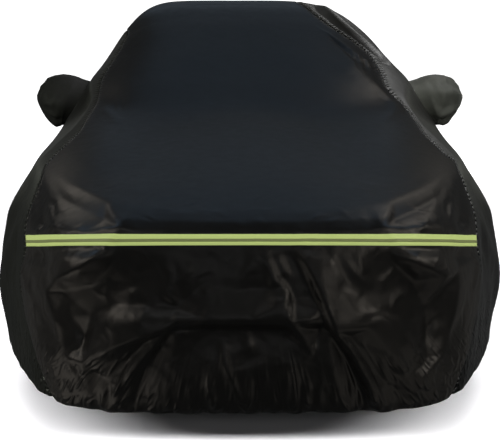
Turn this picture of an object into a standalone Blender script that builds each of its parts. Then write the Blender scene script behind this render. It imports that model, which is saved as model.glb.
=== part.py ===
"""A fitted car cover, hollow, as it lies over a car: a centre panel from hem to hem, two side panels, two mirror
pockets and a reflective tape across the nose.

Metres, +Z up. The nose faces -Y, and +X is the right as seen from the front. The origin is on the inside of the
cloth at the highest point of the roof, where the cover is held up. Sizes are written as distances behind the nose
and heights above the ground, and one shift brings them to the origin.
"""

import math

import bmesh
import bpy
from mathutils import Vector
from mathutils.bvhtree import BVHTree

# ---------------------------------------------------------------- driving sizes

CLOTH = 0.002            # thickness of the coated cloth
SEAM_GAP = 0.0004        # between the edges of two panels
SEAM_BEND_MOST = math.radians(14.0)   # beyond this the panels meet in a ridge, whose edges lean apart
LAY_GAP = 0.0003         # between a piece and the cloth that it lies on
TAPE_THICK = 0.0006
STRIP_THICK = 0.0005

HEM_HEIGHT = 0.200       # of the lower edge above the ground
ROOF_BACK = 2.400        # of the highest point of the roof, behind the nose
ROOF_HEIGHT = 1.468      # of the inside of the cloth there, above the ground
ROOF_LEAN = 0.036        # the right roof edge sits this much closer in than the left one
LEAN_FROM = 1.08         # height where that lean starts
LEAN_OVER = 0.20         # and over how much more height it grows

# Half width of the cover at a distance behind the nose (rows) and a height above the ground (columns)
WIDTH_HEIGHTS = (0.20, 0.45, 0.65, 0.80, 0.90, 1.00, 1.10, 1.20, 1.30, 1.42)
HALF_WIDTHS = (
    (0.250, (0.665, 0.690, 0.660, 0.630, 0.600, 0.570, 0.540, 0.510, 0.480, 0.450)),
    (0.420, (0.744, 0.746, 0.715, 0.680, 0.640, 0.600, 0.570, 0.540, 0.510, 0.480)),
    (0.550, (0.798, 0.800, 0.767, 0.722, 0.680, 0.630, 0.590, 0.550, 0.520, 0.490)),
    (0.700, (0.852, 0.862, 0.825, 0.755, 0.700, 0.640, 0.600, 0.560, 0.530, 0.500)),
    (0.850, (0.893, 0.912, 0.885, 0.800, 0.722, 0.650, 0.600, 0.570, 0.540, 0.510)),
    (1.050, (0.905, 0.924, 0.905, 0.830, 0.722, 0.640, 0.600, 0.580, 0.550, 0.510)),
    (1.400, (0.908, 0.928, 0.920, 0.872, 0.780, 0.668, 0.620, 0.590, 0.560, 0.520)),
    (1.750, (0.910, 0.928, 0.925, 0.885, 0.830, 0.775, 0.706, 0.640, 0.590, 0.540)),
    (2.050, (0.910, 0.928, 0.925, 0.885, 0.832, 0.776, 0.712, 0.655, 0.608, 0.550)),
    (2.900, (0.910, 0.928, 0.925, 0.885, 0.832, 0.776, 0.712, 0.655, 0.608, 0.550)),
    (3.400, (0.895, 0.915, 0.912, 0.872, 0.812, 0.750, 0.682, 0.620, 0.565, 0.510)),
    (3.700, (0.855, 0.878, 0.872, 0.830, 0.772, 0.705, 0.630, 0.560, 0.510, 0.460)),
    (3.880, (0.790, 0.812, 0.806, 0.765, 0.712, 0.650, 0.580, 0.520, 0.470, 0.420)),
    (4.020, (0.712, 0.730, 0.725, 0.688, 0.630, 0.560, 0.500, 0.450, 0.410, 0.370)),
)

# Rows of cloth from the front hem over the roof to the rear hem. Each runs from the middle line (back, height) out to
# the shoulder edge (back, height). square: how late it turns down towards the edge, on the left and the right.
# seam: where the sewn seam lies on it, as a share of the half width, left and right. steps: mesh rows up to the next.
ROWS = (
    # name             middle          edge            square       seam          steps
    ("front hem",      (0.066, 0.200), (0.250, 0.200), (4.4, 4.4), (1.00, 1.00), 1),
    ("hem roll",       (0.048, 0.222), (0.270, 0.222), (4.4, 4.4), (1.00, 1.00), 4),
    ("skirt",          (0.018, 0.330), (0.342, 0.290), (4.4, 4.4), (1.00, 1.00), 4),
    ("bumper low",     (0.004, 0.430), (0.410, 0.362), (4.4, 4.4), (1.00, 1.00), 4),
    ("bumper lip",     (-0.008, 0.510), (0.468, 0.430), (4.4, 4.4), (1.00, 1.00), 4),
    ("bumper top",     (-0.004, 0.620), (0.522, 0.522), (4.4, 4.4), (1.00, 1.00), 4),
    ("tape low",       (0.004, 0.7105), (0.555, 0.595), (4.4, 4.4), (1.00, 1.00), 3),
    ("tape top",       (0.014, 0.7505), (0.585, 0.641), (4.4, 4.4), (1.00, 1.00), 2),
    ("nose",           (0.038, 0.772), (0.690, 0.752), (4.3, 4.3), (1.00, 1.00), 2),
    ("bonnet edge",    (0.078, 0.789), (0.800, 0.842), (4.2, 4.2), (1.00, 1.00), 2),
    ("bonnet nose",    (0.180, 0.822), (0.860, 0.864), (4.2, 4.2), (1.00, 1.00), 2),
    ("bonnet front",   (0.360, 0.863), (0.935, 0.890), (4.2, 4.2), (1.00, 1.00), 2),
    ("bonnet middle",  (0.640, 0.911), (1.080, 0.938), (4.2, 4.2), (1.00, 1.00), 2),
    ("bonnet rear",    (0.920, 0.954), (1.240, 0.982), (4.2, 4.2), (0.99, 0.99), 2),
    ("screen foot",    (1.150, 0.998), (1.410, 1.028), (4.0, 4.0), (0.97, 0.97), 3),
    ("screen low",     (1.380, 1.118), (1.600, 1.082), (4.0, 4.0), (0.93, 0.93), 3),
    ("screen middle",  (1.620, 1.250), (1.780, 1.140), (4.2, 4.0), (0.93, 0.93), 3),
    ("screen high",    (1.860, 1.365), (1.940, 1.205), (5.0, 4.0), (0.96, 0.94), 3),
    ("roof front",     (2.080, 1.434), (2.110, 1.268), (6.5, 3.9), (1.00, 0.78), 3),
    ("roof crest",     (2.400, 1.468), (2.400, 1.290), (7.5, 3.9), (1.00, 0.48), 3),
    ("roof middle",    (2.850, 1.462), (2.850, 1.285), (7.0, 5.0), (1.00, 0.70), 2),
    ("roof rear",      (3.320, 1.412), (3.280, 1.235), (6.0, 5.5), (1.00, 0.95), 2),
    ("rear window",    (3.720, 1.262), (3.600, 1.120), (5.0, 5.0), (1.00, 1.00), 2),
    ("tail edge",      (4.020, 1.055), (3.800, 0.962), (4.4, 4.4), (1.00, 1.00), 2),
    ("tail",           (4.190, 0.900), (3.890, 0.830), (3.8, 3.8), (1.00, 1.00), 2),
    ("tail low",       (4.285, 0.640), (3.950, 0.610), (3.6, 3.6), (1.00, 1.00), 2),
    ("rear bumper",    (4.300, 0.430), (3.985, 0.415), (3.6, 3.6), (1.00, 1.00), 2),
    ("rear roll",      (4.272, 0.225), (4.010, 0.225), (3.8, 3.8), (1.00, 1.00), 1),
    ("rear hem",       (4.255, 0.200), (4.020, 0.200), (3.8, 3.8), (1.00, 1.00), 0),
)
FINE_ROWS_END = "bonnet edge"   # the rows up to here, where the folds lie, have the fine columns
FINE_COLUMNS = 52
COARSE_COLUMNS = 18
COARSE_BUNCHING = 0.80          # below 1 the coarse columns stand closer together near the seams
BESIDE_SEAM = 0.965             # share of the half width of one more column, close beside each seam
SIDE_COLUMNS = 8

# Folds on the nose, seen from the front: the points (across, height) that the fold runs through, its half width on the
# left and the right of that run, and how far it stands out (or in, when negative)
NOSE_FOLDS = (
    # name                 run                                                            half widths     out
    ("lamp shelf left",    ((-0.700, 0.842), (-0.570, 0.812), (-0.423, 0.778), (-0.366, 0.755)), (0.030, 0.030), 0.007),
    ("lamp fold left",     ((-0.366, 0.750), (-0.406, 0.704), (-0.471, 0.642), (-0.540, 0.604)), (0.022, 0.034), 0.013),
    ("lamp hollow left",   ((-0.645, 0.735), (-0.615, 0.640)), (0.030, 0.030), -0.020),
    ("basin left",         ((-0.335, 0.655), (-0.450, 0.565), (-0.500, 0.430)), (0.066, 0.066), -0.030),
    ("corner band left",   ((-0.690, 0.560), (-0.650, 0.440), (-0.590, 0.310), (-0.550, 0.215)), (0.044, 0.060), 0.020),
    ("fist top",           ((-0.430, 0.484), (-0.345, 0.520), (-0.240, 0.500)), (0.030, 0.040), 0.020),
    ("fist cheek",         ((-0.430, 0.430), (-0.340, 0.450)), (0.050, 0.050), 0.016),
    ("fist line",          ((-0.400, 0.502), (-0.457, 0.420), (-0.510, 0.340)), (0.024, 0.020), 0.010),
    ("fan fold left",      ((-0.238, 0.479), (-0.317, 0.376), (-0.377, 0.291), (-0.404, 0.214)), (0.024, 0.032), 0.015),
    ("fan valley left",    ((-0.218, 0.480), (-0.262, 0.362), (-0.305, 0.233)), (0.026, 0.026), -0.014),
    ("fan fold middle",    ((-0.195, 0.470), (-0.205, 0.350), (-0.215, 0.214)), (0.024, 0.024), 0.009),
    ("bumper lip",         ((-0.205, 0.520), (0.000, 0.518), (0.215, 0.515)), (0.026, 0.034), 0.012),
    ("under the lip",      ((-0.180, 0.462), (0.000, 0.460), (0.190, 0.455)), (0.034, 0.034), -0.014),
    ("pinch",              ((-0.190, 0.600), (-0.208, 0.535)), (0.018, 0.018), -0.008),
    ("lamp shelf right",   ((0.383, 0.757), (0.424, 0.776), (0.607, 0.815), (0.749, 0.838)), (0.030, 0.030), 0.007),
    ("lamp fold right",    ((0.380, 0.752), (0.424, 0.697), (0.470, 0.646), (0.560, 0.602), (0.630, 0.600)),
                           (0.034, 0.022), 0.013),
    ("lamp hollow right",  ((0.670, 0.730), (0.645, 0.630)), (0.032, 0.030), -0.021),
    ("basin right",        ((0.390, 0.650), (0.500, 0.565), (0.540, 0.420)), (0.066, 0.066), -0.032),
    ("corner band right",  ((0.735, 0.560), (0.690, 0.440), (0.620, 0.310), (0.570, 0.215)), (0.060, 0.044), 0.020),
    ("diagonal band",      ((0.165, 0.700), (0.245, 0.596), (0.345, 0.485), (0.440, 0.380), (0.500, 0.290)),
                           (0.050, 0.034), 0.022),
    ("diagonal valley",    ((0.105, 0.700), (0.180, 0.570), (0.212, 0.470), (0.270, 0.380), (0.335, 0.262)),
                           (0.024, 0.030), -0.016),
    ("slant ridge",        ((0.015, 0.705), (0.085, 0.565), (0.115, 0.486), (0.160, 0.391)), (0.016, 0.026), 0.009),
    ("hem ridge right",    ((0.229, 0.450), (0.248, 0.324), (0.280, 0.215)), (0.024, 0.020), 0.012),
    ("hem valley right",   ((0.262, 0.440), (0.310, 0.328), (0.338, 0.221)), (0.022, 0.022), -0.011),
    ("hem ridge outer",    ((0.300, 0.418), (0.367, 0.292), (0.406, 0.206)), (0.024, 0.024), 0.012),
    ("hem ridge left",     ((-0.117, 0.390), (-0.102, 0.210)), (0.024, 0.020), 0.009),
    ("hem ridge middle",   ((-0.060, 0.464), (-0.035, 0.325), (-0.005, 0.208)), (0.020, 0.024), 0.010),
    ("hem ridge inner",    ((0.130, 0.360), (0.140, 0.210)), (0.022, 0.022), 0.009),
)
NOSE_FOLDS_BACK = 0.75          # no nose fold lies further back than this
NOSE_FOLDS_TOP = 0.86           # nor higher
NOSE_FADE_BACK = 0.10           # and they fade out over this distance
NOSE_FADE_TOP = 0.06            # and this height

# Folds on the bonnet, screen, roof and tail, seen from above: the same columns, with points (across, back)
TOP_FOLDS = (
    # name                 run                                          half widths     out
    ("roof tuck",          ((0.300, 2.290), (0.430, 2.080), (0.525, 1.960)), (0.022, 0.022), -0.016),
    ("roof ridge",         ((0.240, 2.250), (0.380, 2.060), (0.500, 1.900), (0.555, 1.800)), (0.026, 0.030), 0.012),
    ("screen fold",        ((0.340, 1.720), (0.460, 1.600), (0.570, 1.540)), (0.040, 0.030), 0.012),
    ("screen hollow",      ((0.380, 1.830), (0.490, 1.700), (0.570, 1.640)), (0.036, 0.036), -0.012),
    ("bonnet dish left",   ((-0.380, 0.480), (-0.330, 1.000)), (0.150, 0.150), -0.010),
    ("bonnet dish right",  ((0.360, 0.450), (0.300, 1.050)), (0.150, 0.150), -0.010),
    ("bonnet crown",       ((0.000, 0.300), (0.000, 1.050)), (0.170, 0.170), 0.008),
    ("tail drape left",    ((-0.250, 3.500), (-0.420, 4.000)), (0.070, 0.050), 0.012),
    ("tail drape right",   ((0.300, 3.550), (0.400, 4.050)), (0.060, 0.050), 0.012),
)
TOP_FOLDS_FROM = 0.80           # they start at this height
TOP_FADE = 0.06                 # and reach their full size this much higher

# Folds on the sides, seen from the side: a line from one end to the other (back, height); side -1 is the left
SIDE_FOLDS = (
    # name               side  from            to              half width  out
    ("corner pull left",  -1, (0.620, 0.600), (0.900, 0.260), 0.060, 0.012),
    ("corner pull right", 1,  (0.640, 0.620), (0.940, 0.260), 0.060, 0.012),
    ("wheel hollow left", -1, (1.050, 0.520), (1.100, 0.300), 0.150, -0.020),
    ("wheel hollow right", 1, (1.080, 0.500), (1.080, 0.300), 0.150, -0.020),
    ("door drape left",   -1, (2.050, 0.900), (1.900, 0.250), 0.080, 0.014),
    ("door drape right",  1,  (2.200, 0.900), (2.080, 0.250), 0.080, 0.014),
    ("rear drape left",   -1, (2.900, 0.880), (2.750, 0.250), 0.090, 0.012),
    ("rear drape right",  1,  (2.800, 0.880), (2.900, 0.250), 0.090, 0.012),
    ("rear wheel left",   -1, (3.350, 0.520), (3.350, 0.300), 0.150, -0.018),
    ("rear wheel right",  1,  (3.350, 0.500), (3.350, 0.300), 0.150, -0.018),
)
SEAM_FADE = 0.040               # every fold fades out within this distance of a seam

# Mirror pocket: rings from its root on the side panel to its tip, as seen from the front
POCKET_BACK = 1.750             # of its middle, behind the nose
POCKET_RINGS = (
    # top (across, height)  bottom          half depth
    ((0.765, 1.117), (0.838, 0.903), 0.110),
    ((0.826, 1.127), (0.862, 0.904), 0.108),
    ((0.880, 1.118), (0.889, 0.921), 0.095),
    ((0.918, 1.088), (0.917, 0.955), 0.070),
    ((0.940, 1.052), (0.939, 0.993), 0.036),
)
POCKET_TIP = (0.950, 1.024)
ROOT_TOP = 1.098                # heights of the ends of the oval opening in the side panel
ROOT_BOTTOM = 0.915
ROOT_HALF_DEPTH = 0.098
ROOT_SQUARE = 2.4               # of its superellipse, 2 is an ellipse
ROOT_INSIDE = 0.004             # the pocket's root reaches this far inside the panel
ROOT_OUTSIDE = 0.012            # and runs straight this far outside
POCKET_SIDES = 16
POCKET_ROUND = 0.9              # 1 is an ellipse, less is squarer
POCKET_FOLD_SCALE = 0.10        # the half size of a ring for which the folds below are given
CUTTER_SPAN = (0.55, 1.05)      # from and to where, across, the opening is cut
# Folds of the pocket: where round it (0 is the top, 0.25 the front), how wide, and how far out at the middle
POCKET_FOLDS = (
    (0.12, 0.05, 0.004),
    (0.30, 0.05, -0.004),
    (0.43, 0.06, 0.005),
    (0.55, 0.05, -0.005),
    (0.80, 0.06, 0.004),
)


# ---------------------------------------------------------------- helpers

def clear_scene():
    for leftover in list(bpy.data.objects):
        bpy.data.objects.remove(leftover, do_unlink=True)


def at_origin(across, back, height):
    """From distances behind the nose and above the ground to the part's own frame."""
    return Vector((across, back - ROOF_BACK, height - ROOF_HEIGHT))


def smoothstep(value):
    value = min(max(value, 0.0), 1.0)
    return value * value * (3.0 - 2.0 * value)


def smooth_curve(places, values, place):
    """A curve through the values that keeps their rises and falls: a monotone cubic."""
    last = len(places) - 1
    if place <= places[0]:
        return values[0]
    if place >= places[last]:
        return values[last]
    step = next(i for i in range(last) if place <= places[i + 1])

    def slope(i):
        if i <= 0 or i >= last:
            return edge_slope(i)
        before = (values[i] - values[i - 1]) / (places[i] - places[i - 1])
        after = (values[i + 1] - values[i]) / (places[i + 1] - places[i])
        if before * after <= 0.0:
            return 0.0
        return 2.0 * before * after / (before + after)

    def edge_slope(i):
        near = 1 if i == 0 else last - 1
        return (values[near] - values[i]) / (places[near] - places[i])

    span = places[step + 1] - places[step]
    t = (place - places[step]) / span
    start, end = slope(step) * span, slope(step + 1) * span
    t2, t3 = t * t, t * t * t
    return (
        (2 * t3 - 3 * t2 + 1) * values[step]
        + (t3 - 2 * t2 + t) * start
        + (3 * t2 - 2 * t3) * values[step + 1]
        + (t3 - t2) * end
    )


STATIONS = [station for station, _ in HALF_WIDTHS]


def half_width(back, height, side):
    """Half the width of the cover at a distance behind the nose and a height above the ground."""
    across = [smooth_curve(WIDTH_HEIGHTS, widths, height) for _, widths in HALF_WIDTHS]
    width = smooth_curve(STATIONS, across, back)
    if side > 0:
        width -= ROOF_LEAN * smoothstep((height - LEAN_FROM) / LEAN_OVER)
    return width


def row_places():
    """The mesh rows, as places along the ROWS table."""
    places = []
    for index, row in enumerate(ROWS):
        steps = row[-1]
        for step in range(max(steps, 1)):
            places.append(index + step / max(steps, 1))
    return places


def row_number(name):
    return next(i for i, row in enumerate(ROWS) if row[0] == name)


class Row:
    """One row of cloth across the cover, at a place along the ROWS table."""

    def __init__(self, place):
        numbers = list(range(len(ROWS)))

        def read(column, item):
            return smooth_curve(numbers, [row[column][item] for row in ROWS], place)

        self.middle = (read(1, 0), read(1, 1))
        self.edge = (read(2, 0), read(2, 1))
        self.square = {-1: read(3, 0), 1: read(3, 1)}
        self.seam = {-1: read(4, 0), 1: read(4, 1)}
        self.edge_across = {side: half_width(self.edge[0], self.edge[1], side) for side in (-1, 1)}

    def on_top(self, side, share):
        """A point between the middle line (share 0) and the shoulder edge (share 1)."""
        turn = share ** self.square[side]
        back = self.middle[0] + (self.edge[0] - self.middle[0]) * turn
        height = self.middle[1] + (self.edge[1] - self.middle[1]) * turn
        return Vector((side * share * self.edge_across[side], back, height))

    def on_side(self, side, share):
        """A point between the seam (share 0) and the hem (share 1)."""
        over_edge = (1.0 - self.seam[side]) * self.edge_across[side]
        drop = self.edge[1] - HEM_HEIGHT
        along = share * (over_edge + drop)
        if along < over_edge:
            return self.on_top(side, self.seam[side] + along / self.edge_across[side])
        height = self.edge[1] - (along - over_edge)
        back = self.edge[0]
        return Vector((side * half_width(back, height, side), back, height))


def line_distance(point, start, end):
    """Distance of a point from a stretch of a line."""
    run = (end[0] - start[0], end[1] - start[1])
    length = run[0] ** 2 + run[1] ** 2
    share = ((point[0] - start[0]) * run[0] + (point[1] - start[1]) * run[1]) / length
    held = min(max(share, 0.0), 1.0)
    near = (start[0] + run[0] * held, start[1] + run[1] * held)
    return math.hypot(point[0] - near[0], point[1] - near[1])


def fold_height(point, start, end, half, out):
    """How far a fold stands out at a point: a soft bell across its line."""
    away = line_distance(point, start, end) / half
    return out * math.exp(-away * away)


def run_height(point, run, widths, out):
    """How far a fold stands out at a point: a soft bell across its run, wider on one side than on the other."""
    nearest = math.inf
    height = 0.0
    for start, end in zip(run, run[1:]):
        away = line_distance(point, start, end)
        if away < nearest:
            nearest = away
            turn = (end[0] - start[0]) * (point[1] - start[1]) - (end[1] - start[1]) * (point[0] - start[0])
            half = widths[0] if turn > 0.0 else widths[1]
            height = out * math.exp(-((away / half) ** 2))
    return height


def centre_folds(point):
    """The folds of the centre panel at a point, in metres out from the cloth."""
    across, back, height = point
    out = 0.0
    on_nose = smoothstep((NOSE_FOLDS_BACK - back) / NOSE_FADE_BACK) * smoothstep(
        (NOSE_FOLDS_TOP - height) / NOSE_FADE_TOP
    )
    if on_nose > 0.0:
        for _, run, widths, rise in NOSE_FOLDS:
            out += on_nose * run_height((across, height), run, widths, rise)
    on_top = smoothstep((height - TOP_FOLDS_FROM) / TOP_FADE)
    if on_top > 0.0:
        for _, run, widths, rise in TOP_FOLDS:
            out += on_top * run_height((across, back), run, widths, rise)
    return out


def side_folds(point, side):
    out = 0.0
    for _, on_side, start, end, half, rise in SIDE_FOLDS:
        if on_side == side:
            out += fold_height((point[1], point[2]), start, end, half, rise)
    return out


def raise_folds(grid, edges, folds):
    """Move the points of a grid out along the cloth by its folds, fading out near the seams."""
    rows = len(grid)
    raised = []
    for i, row in enumerate(grid):
        before, after = grid[max(i - 1, 0)], grid[min(i + 1, rows - 1)]
        line = []
        for j, point in enumerate(row):
            left, right = row[max(j - 1, 0)], row[min(j + 1, len(row) - 1)]
            along = pick(after, j, len(row)) - pick(before, j, len(row))
            normal = (right - left).cross(along)
            if normal.length < 1e-9:
                line.append(point.copy())
                continue
            reach = min((point - edge).length for edge in edges(i))
            out = folds(point) * smoothstep(reach / SEAM_FADE)
            line.append(point + normal.normalized() * out)
        raised.append(line)
    return raised


def pick(row, index, count):
    """The point of a row nearest to the same place in a row with another number of points."""
    return row[round(index * (len(row) - 1) / max(count - 1, 1))]


def column_shares(place):
    """Where the columns of a row of the centre panel lie, from -1 at the left seam to 1 at the right one."""
    if place <= row_number(FINE_ROWS_END):
        return [2.0 * column / FINE_COLUMNS - 1.0 for column in range(FINE_COLUMNS + 1)]
    shares = [-BESIDE_SEAM, BESIDE_SEAM]
    for column in range(COARSE_COLUMNS + 1):
        even = 2.0 * column / COARSE_COLUMNS - 1.0
        shares.append(math.copysign(abs(even) ** COARSE_BUNCHING, even))
    return sorted(shares)


def across_direction(line, end, inner):
    return (line[end] - line[inner]).normalized()


def open_seam(centre, end, inner, panel):
    """Draw the edges of the centre panel and a side panel apart along their seam.

    Where the two meet at an angle, their edges lean together by the thickness of the cloth, so they stand that much
    further apart there.
    """
    rows = len(centre)
    shifts = []
    for i in range(1, rows - 1):
        along = centre[i + 1][end] - centre[i - 1][end]
        out = across_direction(centre[i], end, inner)
        down = across_direction(panel[i], 1, 0)
        bend = min(out.cross(along).angle(down.cross(along)), SEAM_BEND_MOST)
        shift = SEAM_GAP / 2.0 + CLOTH * math.tan(bend)
        shifts.append((i, out * -shift, down * shift))
    for i, centre_shift, panel_shift in shifts:
        centre[i][end] = centre[i][end] + centre_shift
        panel[i][0] = panel[i][0] + panel_shift
    for i in (0, rows - 1):
        centre[i][end] = centre[i][end] - across_direction(centre[i], end, inner) * SEAM_GAP


# ---------------------------------------------------------------- grids of cloth

def centre_grid(places):
    """Points of the centre panel, row by row, from the left seam to the right one."""
    grid = []
    for place in places:
        row = Row(place)
        line = []
        for share in column_shares(place):
            side = -1 if share < 0.0 else 1
            line.append(row.on_top(side, abs(share) * row.seam[side]))
        grid.append(line)
    seams = [(line[0].copy(), line[-1].copy()) for line in grid]
    return raise_folds(grid, lambda i: seams[i], centre_folds)


def side_grid(places, side):
    """Points of a side panel, row by row, from the seam down to the hem."""
    grid = []
    for place in places:
        row = Row(place)
        grid.append([row.on_side(side, column / SIDE_COLUMNS) for column in range(SIDE_COLUMNS + 1)])
    seams = [line[0].copy() for line in grid]

    def folds(point):
        return side * side_folds(point, side)

    return raise_folds(grid, lambda i: (seams[i],), folds)


def cloth_mesh(name, grid, flip=False):
    """A mesh from rows of points: rows of unlike length are joined by triangles, a row of one place by a fan."""
    mesh = bmesh.new()
    lines = []
    for row in grid:
        span = sum((row[k + 1] - row[k]).length for k in range(len(row) - 1))
        points = [row[0]] if span < 1e-4 else row
        lines.append([mesh.verts.new(at_origin(*point)) for point in points])
    for lower, upper in zip(lines, lines[1:]):
        join_rows(mesh, lower, upper)
    if flip:
        bmesh.ops.reverse_faces(mesh, faces=mesh.faces)
    data = bpy.data.meshes.new(name)
    mesh.normal_update()
    mesh.to_mesh(data)
    mesh.free()
    return data


def join_rows(mesh, lower, upper):
    if len(lower) == len(upper):
        for k in range(len(lower) - 1):
            mesh.faces.new((lower[k], lower[k + 1], upper[k + 1], upper[k]))
        return
    i = j = 0
    while i < len(lower) - 1 or j < len(upper) - 1:
        ahead_lower = (i + 1) / max(len(lower) - 1, 1) if i < len(lower) - 1 else math.inf
        ahead_upper = (j + 1) / max(len(upper) - 1, 1) if j < len(upper) - 1 else math.inf
        if ahead_lower <= ahead_upper:
            mesh.faces.new((lower[i], lower[i + 1], upper[j]))
            i += 1
        else:
            mesh.faces.new((lower[i], upper[j + 1], upper[j]))
            j += 1


# ---------------------------------------------------------------- materials and objects

def make_material(name, colour, roughness):
    material = bpy.data.materials.new(name)
    material.use_nodes = True
    shader = material.node_tree.nodes["Principled BSDF"]
    shader.inputs["Base Color"].default_value = (*colour, 1.0)
    shader.inputs["Roughness"].default_value = roughness
    shader.inputs["Metallic"].default_value = 0.0
    return material


def add_piece(name, data, material, collection):
    piece = bpy.data.objects.new(name, data)
    piece.data.materials.append(material)
    collection.objects.link(piece)
    piece.data.shade_smooth()
    return piece


def thicken(piece, thickness, offset):
    solid = piece.modifiers.new("thickness", "SOLIDIFY")
    solid.thickness = thickness
    solid.offset = offset
    return solid


def root_oval():
    """The oval opening for a mirror pocket, as (back, height) points seen from the side."""
    middle = (ROOT_TOP + ROOT_BOTTOM) / 2.0
    half_height = (ROOT_TOP - ROOT_BOTTOM) / 2.0
    points = []
    for k in range(POCKET_SIDES):
        turn = 2.0 * math.pi * k / POCKET_SIDES
        up, front = math.cos(turn), math.sin(turn)
        points.append((
            POCKET_BACK - ROOT_HALF_DEPTH * math.copysign(abs(front) ** (2.0 / ROOT_SQUARE), front),
            middle + half_height * math.copysign(abs(up) ** (2.0 / ROOT_SQUARE), up),
        ))
    return points


def opening_cutter(side, collection):
    """A prism through the side panel in the shape of the pocket's oval root."""
    oval = root_oval()
    mesh = bmesh.new()
    ends = []
    for across in CUTTER_SPAN:
        ends.append([mesh.verts.new(at_origin(side * across, back, height)) for back, height in oval])
    for k in range(POCKET_SIDES):
        following = (k + 1) % POCKET_SIDES
        mesh.faces.new((ends[0][k], ends[0][following], ends[1][following], ends[1][k]))
    mesh.faces.new(ends[0])
    mesh.faces.new(ends[1])
    bmesh.ops.recalc_face_normals(mesh, faces=mesh.faces)
    data = bpy.data.meshes.new("pocket_opening")
    mesh.to_mesh(data)
    mesh.free()
    cutter = bpy.data.objects.new("pocket_opening", data)
    cutter.hide_render = True
    cutter.display_type = "WIRE"
    collection.objects.link(cutter)
    return cutter


def pocket_ring(ring, fold_scale):
    """One oval ring of a pocket, as (across, back, height) points, uneven where its folds run."""
    (top_across, top), (bottom_across, bottom), depth = ring
    middle = ((top_across + bottom_across) / 2.0, (top + bottom) / 2.0)
    half = ((top_across - bottom_across) / 2.0, (top - bottom) / 2.0)
    points = []
    for k in range(POCKET_SIDES):
        turn = 2.0 * math.pi * k / POCKET_SIDES
        out = 0.0
        for place, width, rise in POCKET_FOLDS:
            away = (k / POCKET_SIDES - place + 0.5) % 1.0 - 0.5
            out += rise * math.exp(-((away / width) ** 2))
        swell = 1.0 + fold_scale * out / POCKET_FOLD_SCALE
        up = math.copysign(abs(math.cos(turn)) ** POCKET_ROUND, math.cos(turn)) * swell
        front = math.copysign(abs(math.sin(turn)) ** POCKET_ROUND, math.sin(turn)) * swell
        points.append((middle[0] + half[0] * up, POCKET_BACK - depth * front, middle[1] + half[1] * up))
    return points


def panel_across(panel, side):
    """A function of (back, height): how far out the side panel lies there."""
    surface = BVHTree.FromPolygons([v.co for v in panel.vertices], [face.vertices for face in panel.polygons])

    def across(back, height):
        start = at_origin(side * CUTTER_SPAN[1], back, height)
        place = surface.ray_cast(start, Vector((-side, 0.0, 0.0)))[0]
        return abs(place.x)

    return across


def build_pocket(side, name, panel, material, collection):
    """A hollow pocket: its root stands in the panel's opening, and its rings close towards the tip."""
    clearance = LAY_GAP
    across_at = panel_across(panel, side)
    middle = (ROOT_TOP + ROOT_BOTTOM) / 2.0
    oval = root_oval()
    inner_back = 1.0 - clearance / ROOT_HALF_DEPTH
    inner_up = 1.0 - 2.0 * clearance / (ROOT_TOP - ROOT_BOTTOM)
    root = []
    for back, height in oval:
        back = POCKET_BACK + (back - POCKET_BACK) * inner_back
        height = middle + (height - middle) * inner_up
        root.append((across_at(back, height), back, height))
    rings = [
        [(across - ROOT_INSIDE, back, height) for across, back, height in root],
        [(across + CLOTH + ROOT_OUTSIDE, back, height) for across, back, height in root],
    ]
    for index, ring in enumerate(POCKET_RINGS):
        rings.append(pocket_ring(ring, smoothstep((index + 1) / 2.0)))
    mesh = bmesh.new()
    loops = [
        [mesh.verts.new(at_origin(side * across, back, height)) for across, back, height in ring]
        for ring in rings
    ]
    for inner, outer in zip(loops, loops[1:]):
        for k in range(POCKET_SIDES):
            following = (k + 1) % POCKET_SIDES
            mesh.faces.new((inner[k], inner[following], outer[following], outer[k]))
    tip = mesh.verts.new(at_origin(side * POCKET_TIP[0], POCKET_BACK, POCKET_TIP[1]))
    for k in range(POCKET_SIDES):
        mesh.faces.new((loops[-1][k], loops[-1][(k + 1) % POCKET_SIDES], tip))
    bmesh.ops.recalc_face_normals(mesh, faces=mesh.faces)
    data = bpy.data.meshes.new(name)
    mesh.to_mesh(data)
    mesh.free()
    piece = add_piece(name, data, material, collection)
    centre = sum((vertex.co for vertex in data.vertices), Vector()) / len(data.vertices)
    first = data.polygons[0]
    if first.normal.dot(first.center - centre) < 0.0:
        data.flip_normals()
    thicken(piece, CLOTH, -1.0)
    return piece


def build_band(name, panel, places, first, last, lift, thickness, material, collection):
    """A strip that lies on the centre panel between two of its mesh rows."""
    rows = [index for index, place in enumerate(places) if first - 1e-6 <= place <= last + 1e-6]
    columns = FINE_COLUMNS + 1
    start = rows[0] * columns
    mesh = bmesh.new()
    lines = []
    for row in range(len(rows)):
        vertices = panel.vertices[start + row * columns : start + (row + 1) * columns]
        lines.append([mesh.verts.new(v.co + v.normal * (CLOTH + lift)) for v in vertices])
    for lower, upper in zip(lines, lines[1:]):
        join_rows(mesh, lower, upper)
    data = bpy.data.meshes.new(name)
    mesh.normal_update()
    mesh.to_mesh(data)
    mesh.free()
    piece = add_piece(name, data, material, collection)
    thicken(piece, thickness, 1.0)
    return piece


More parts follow.
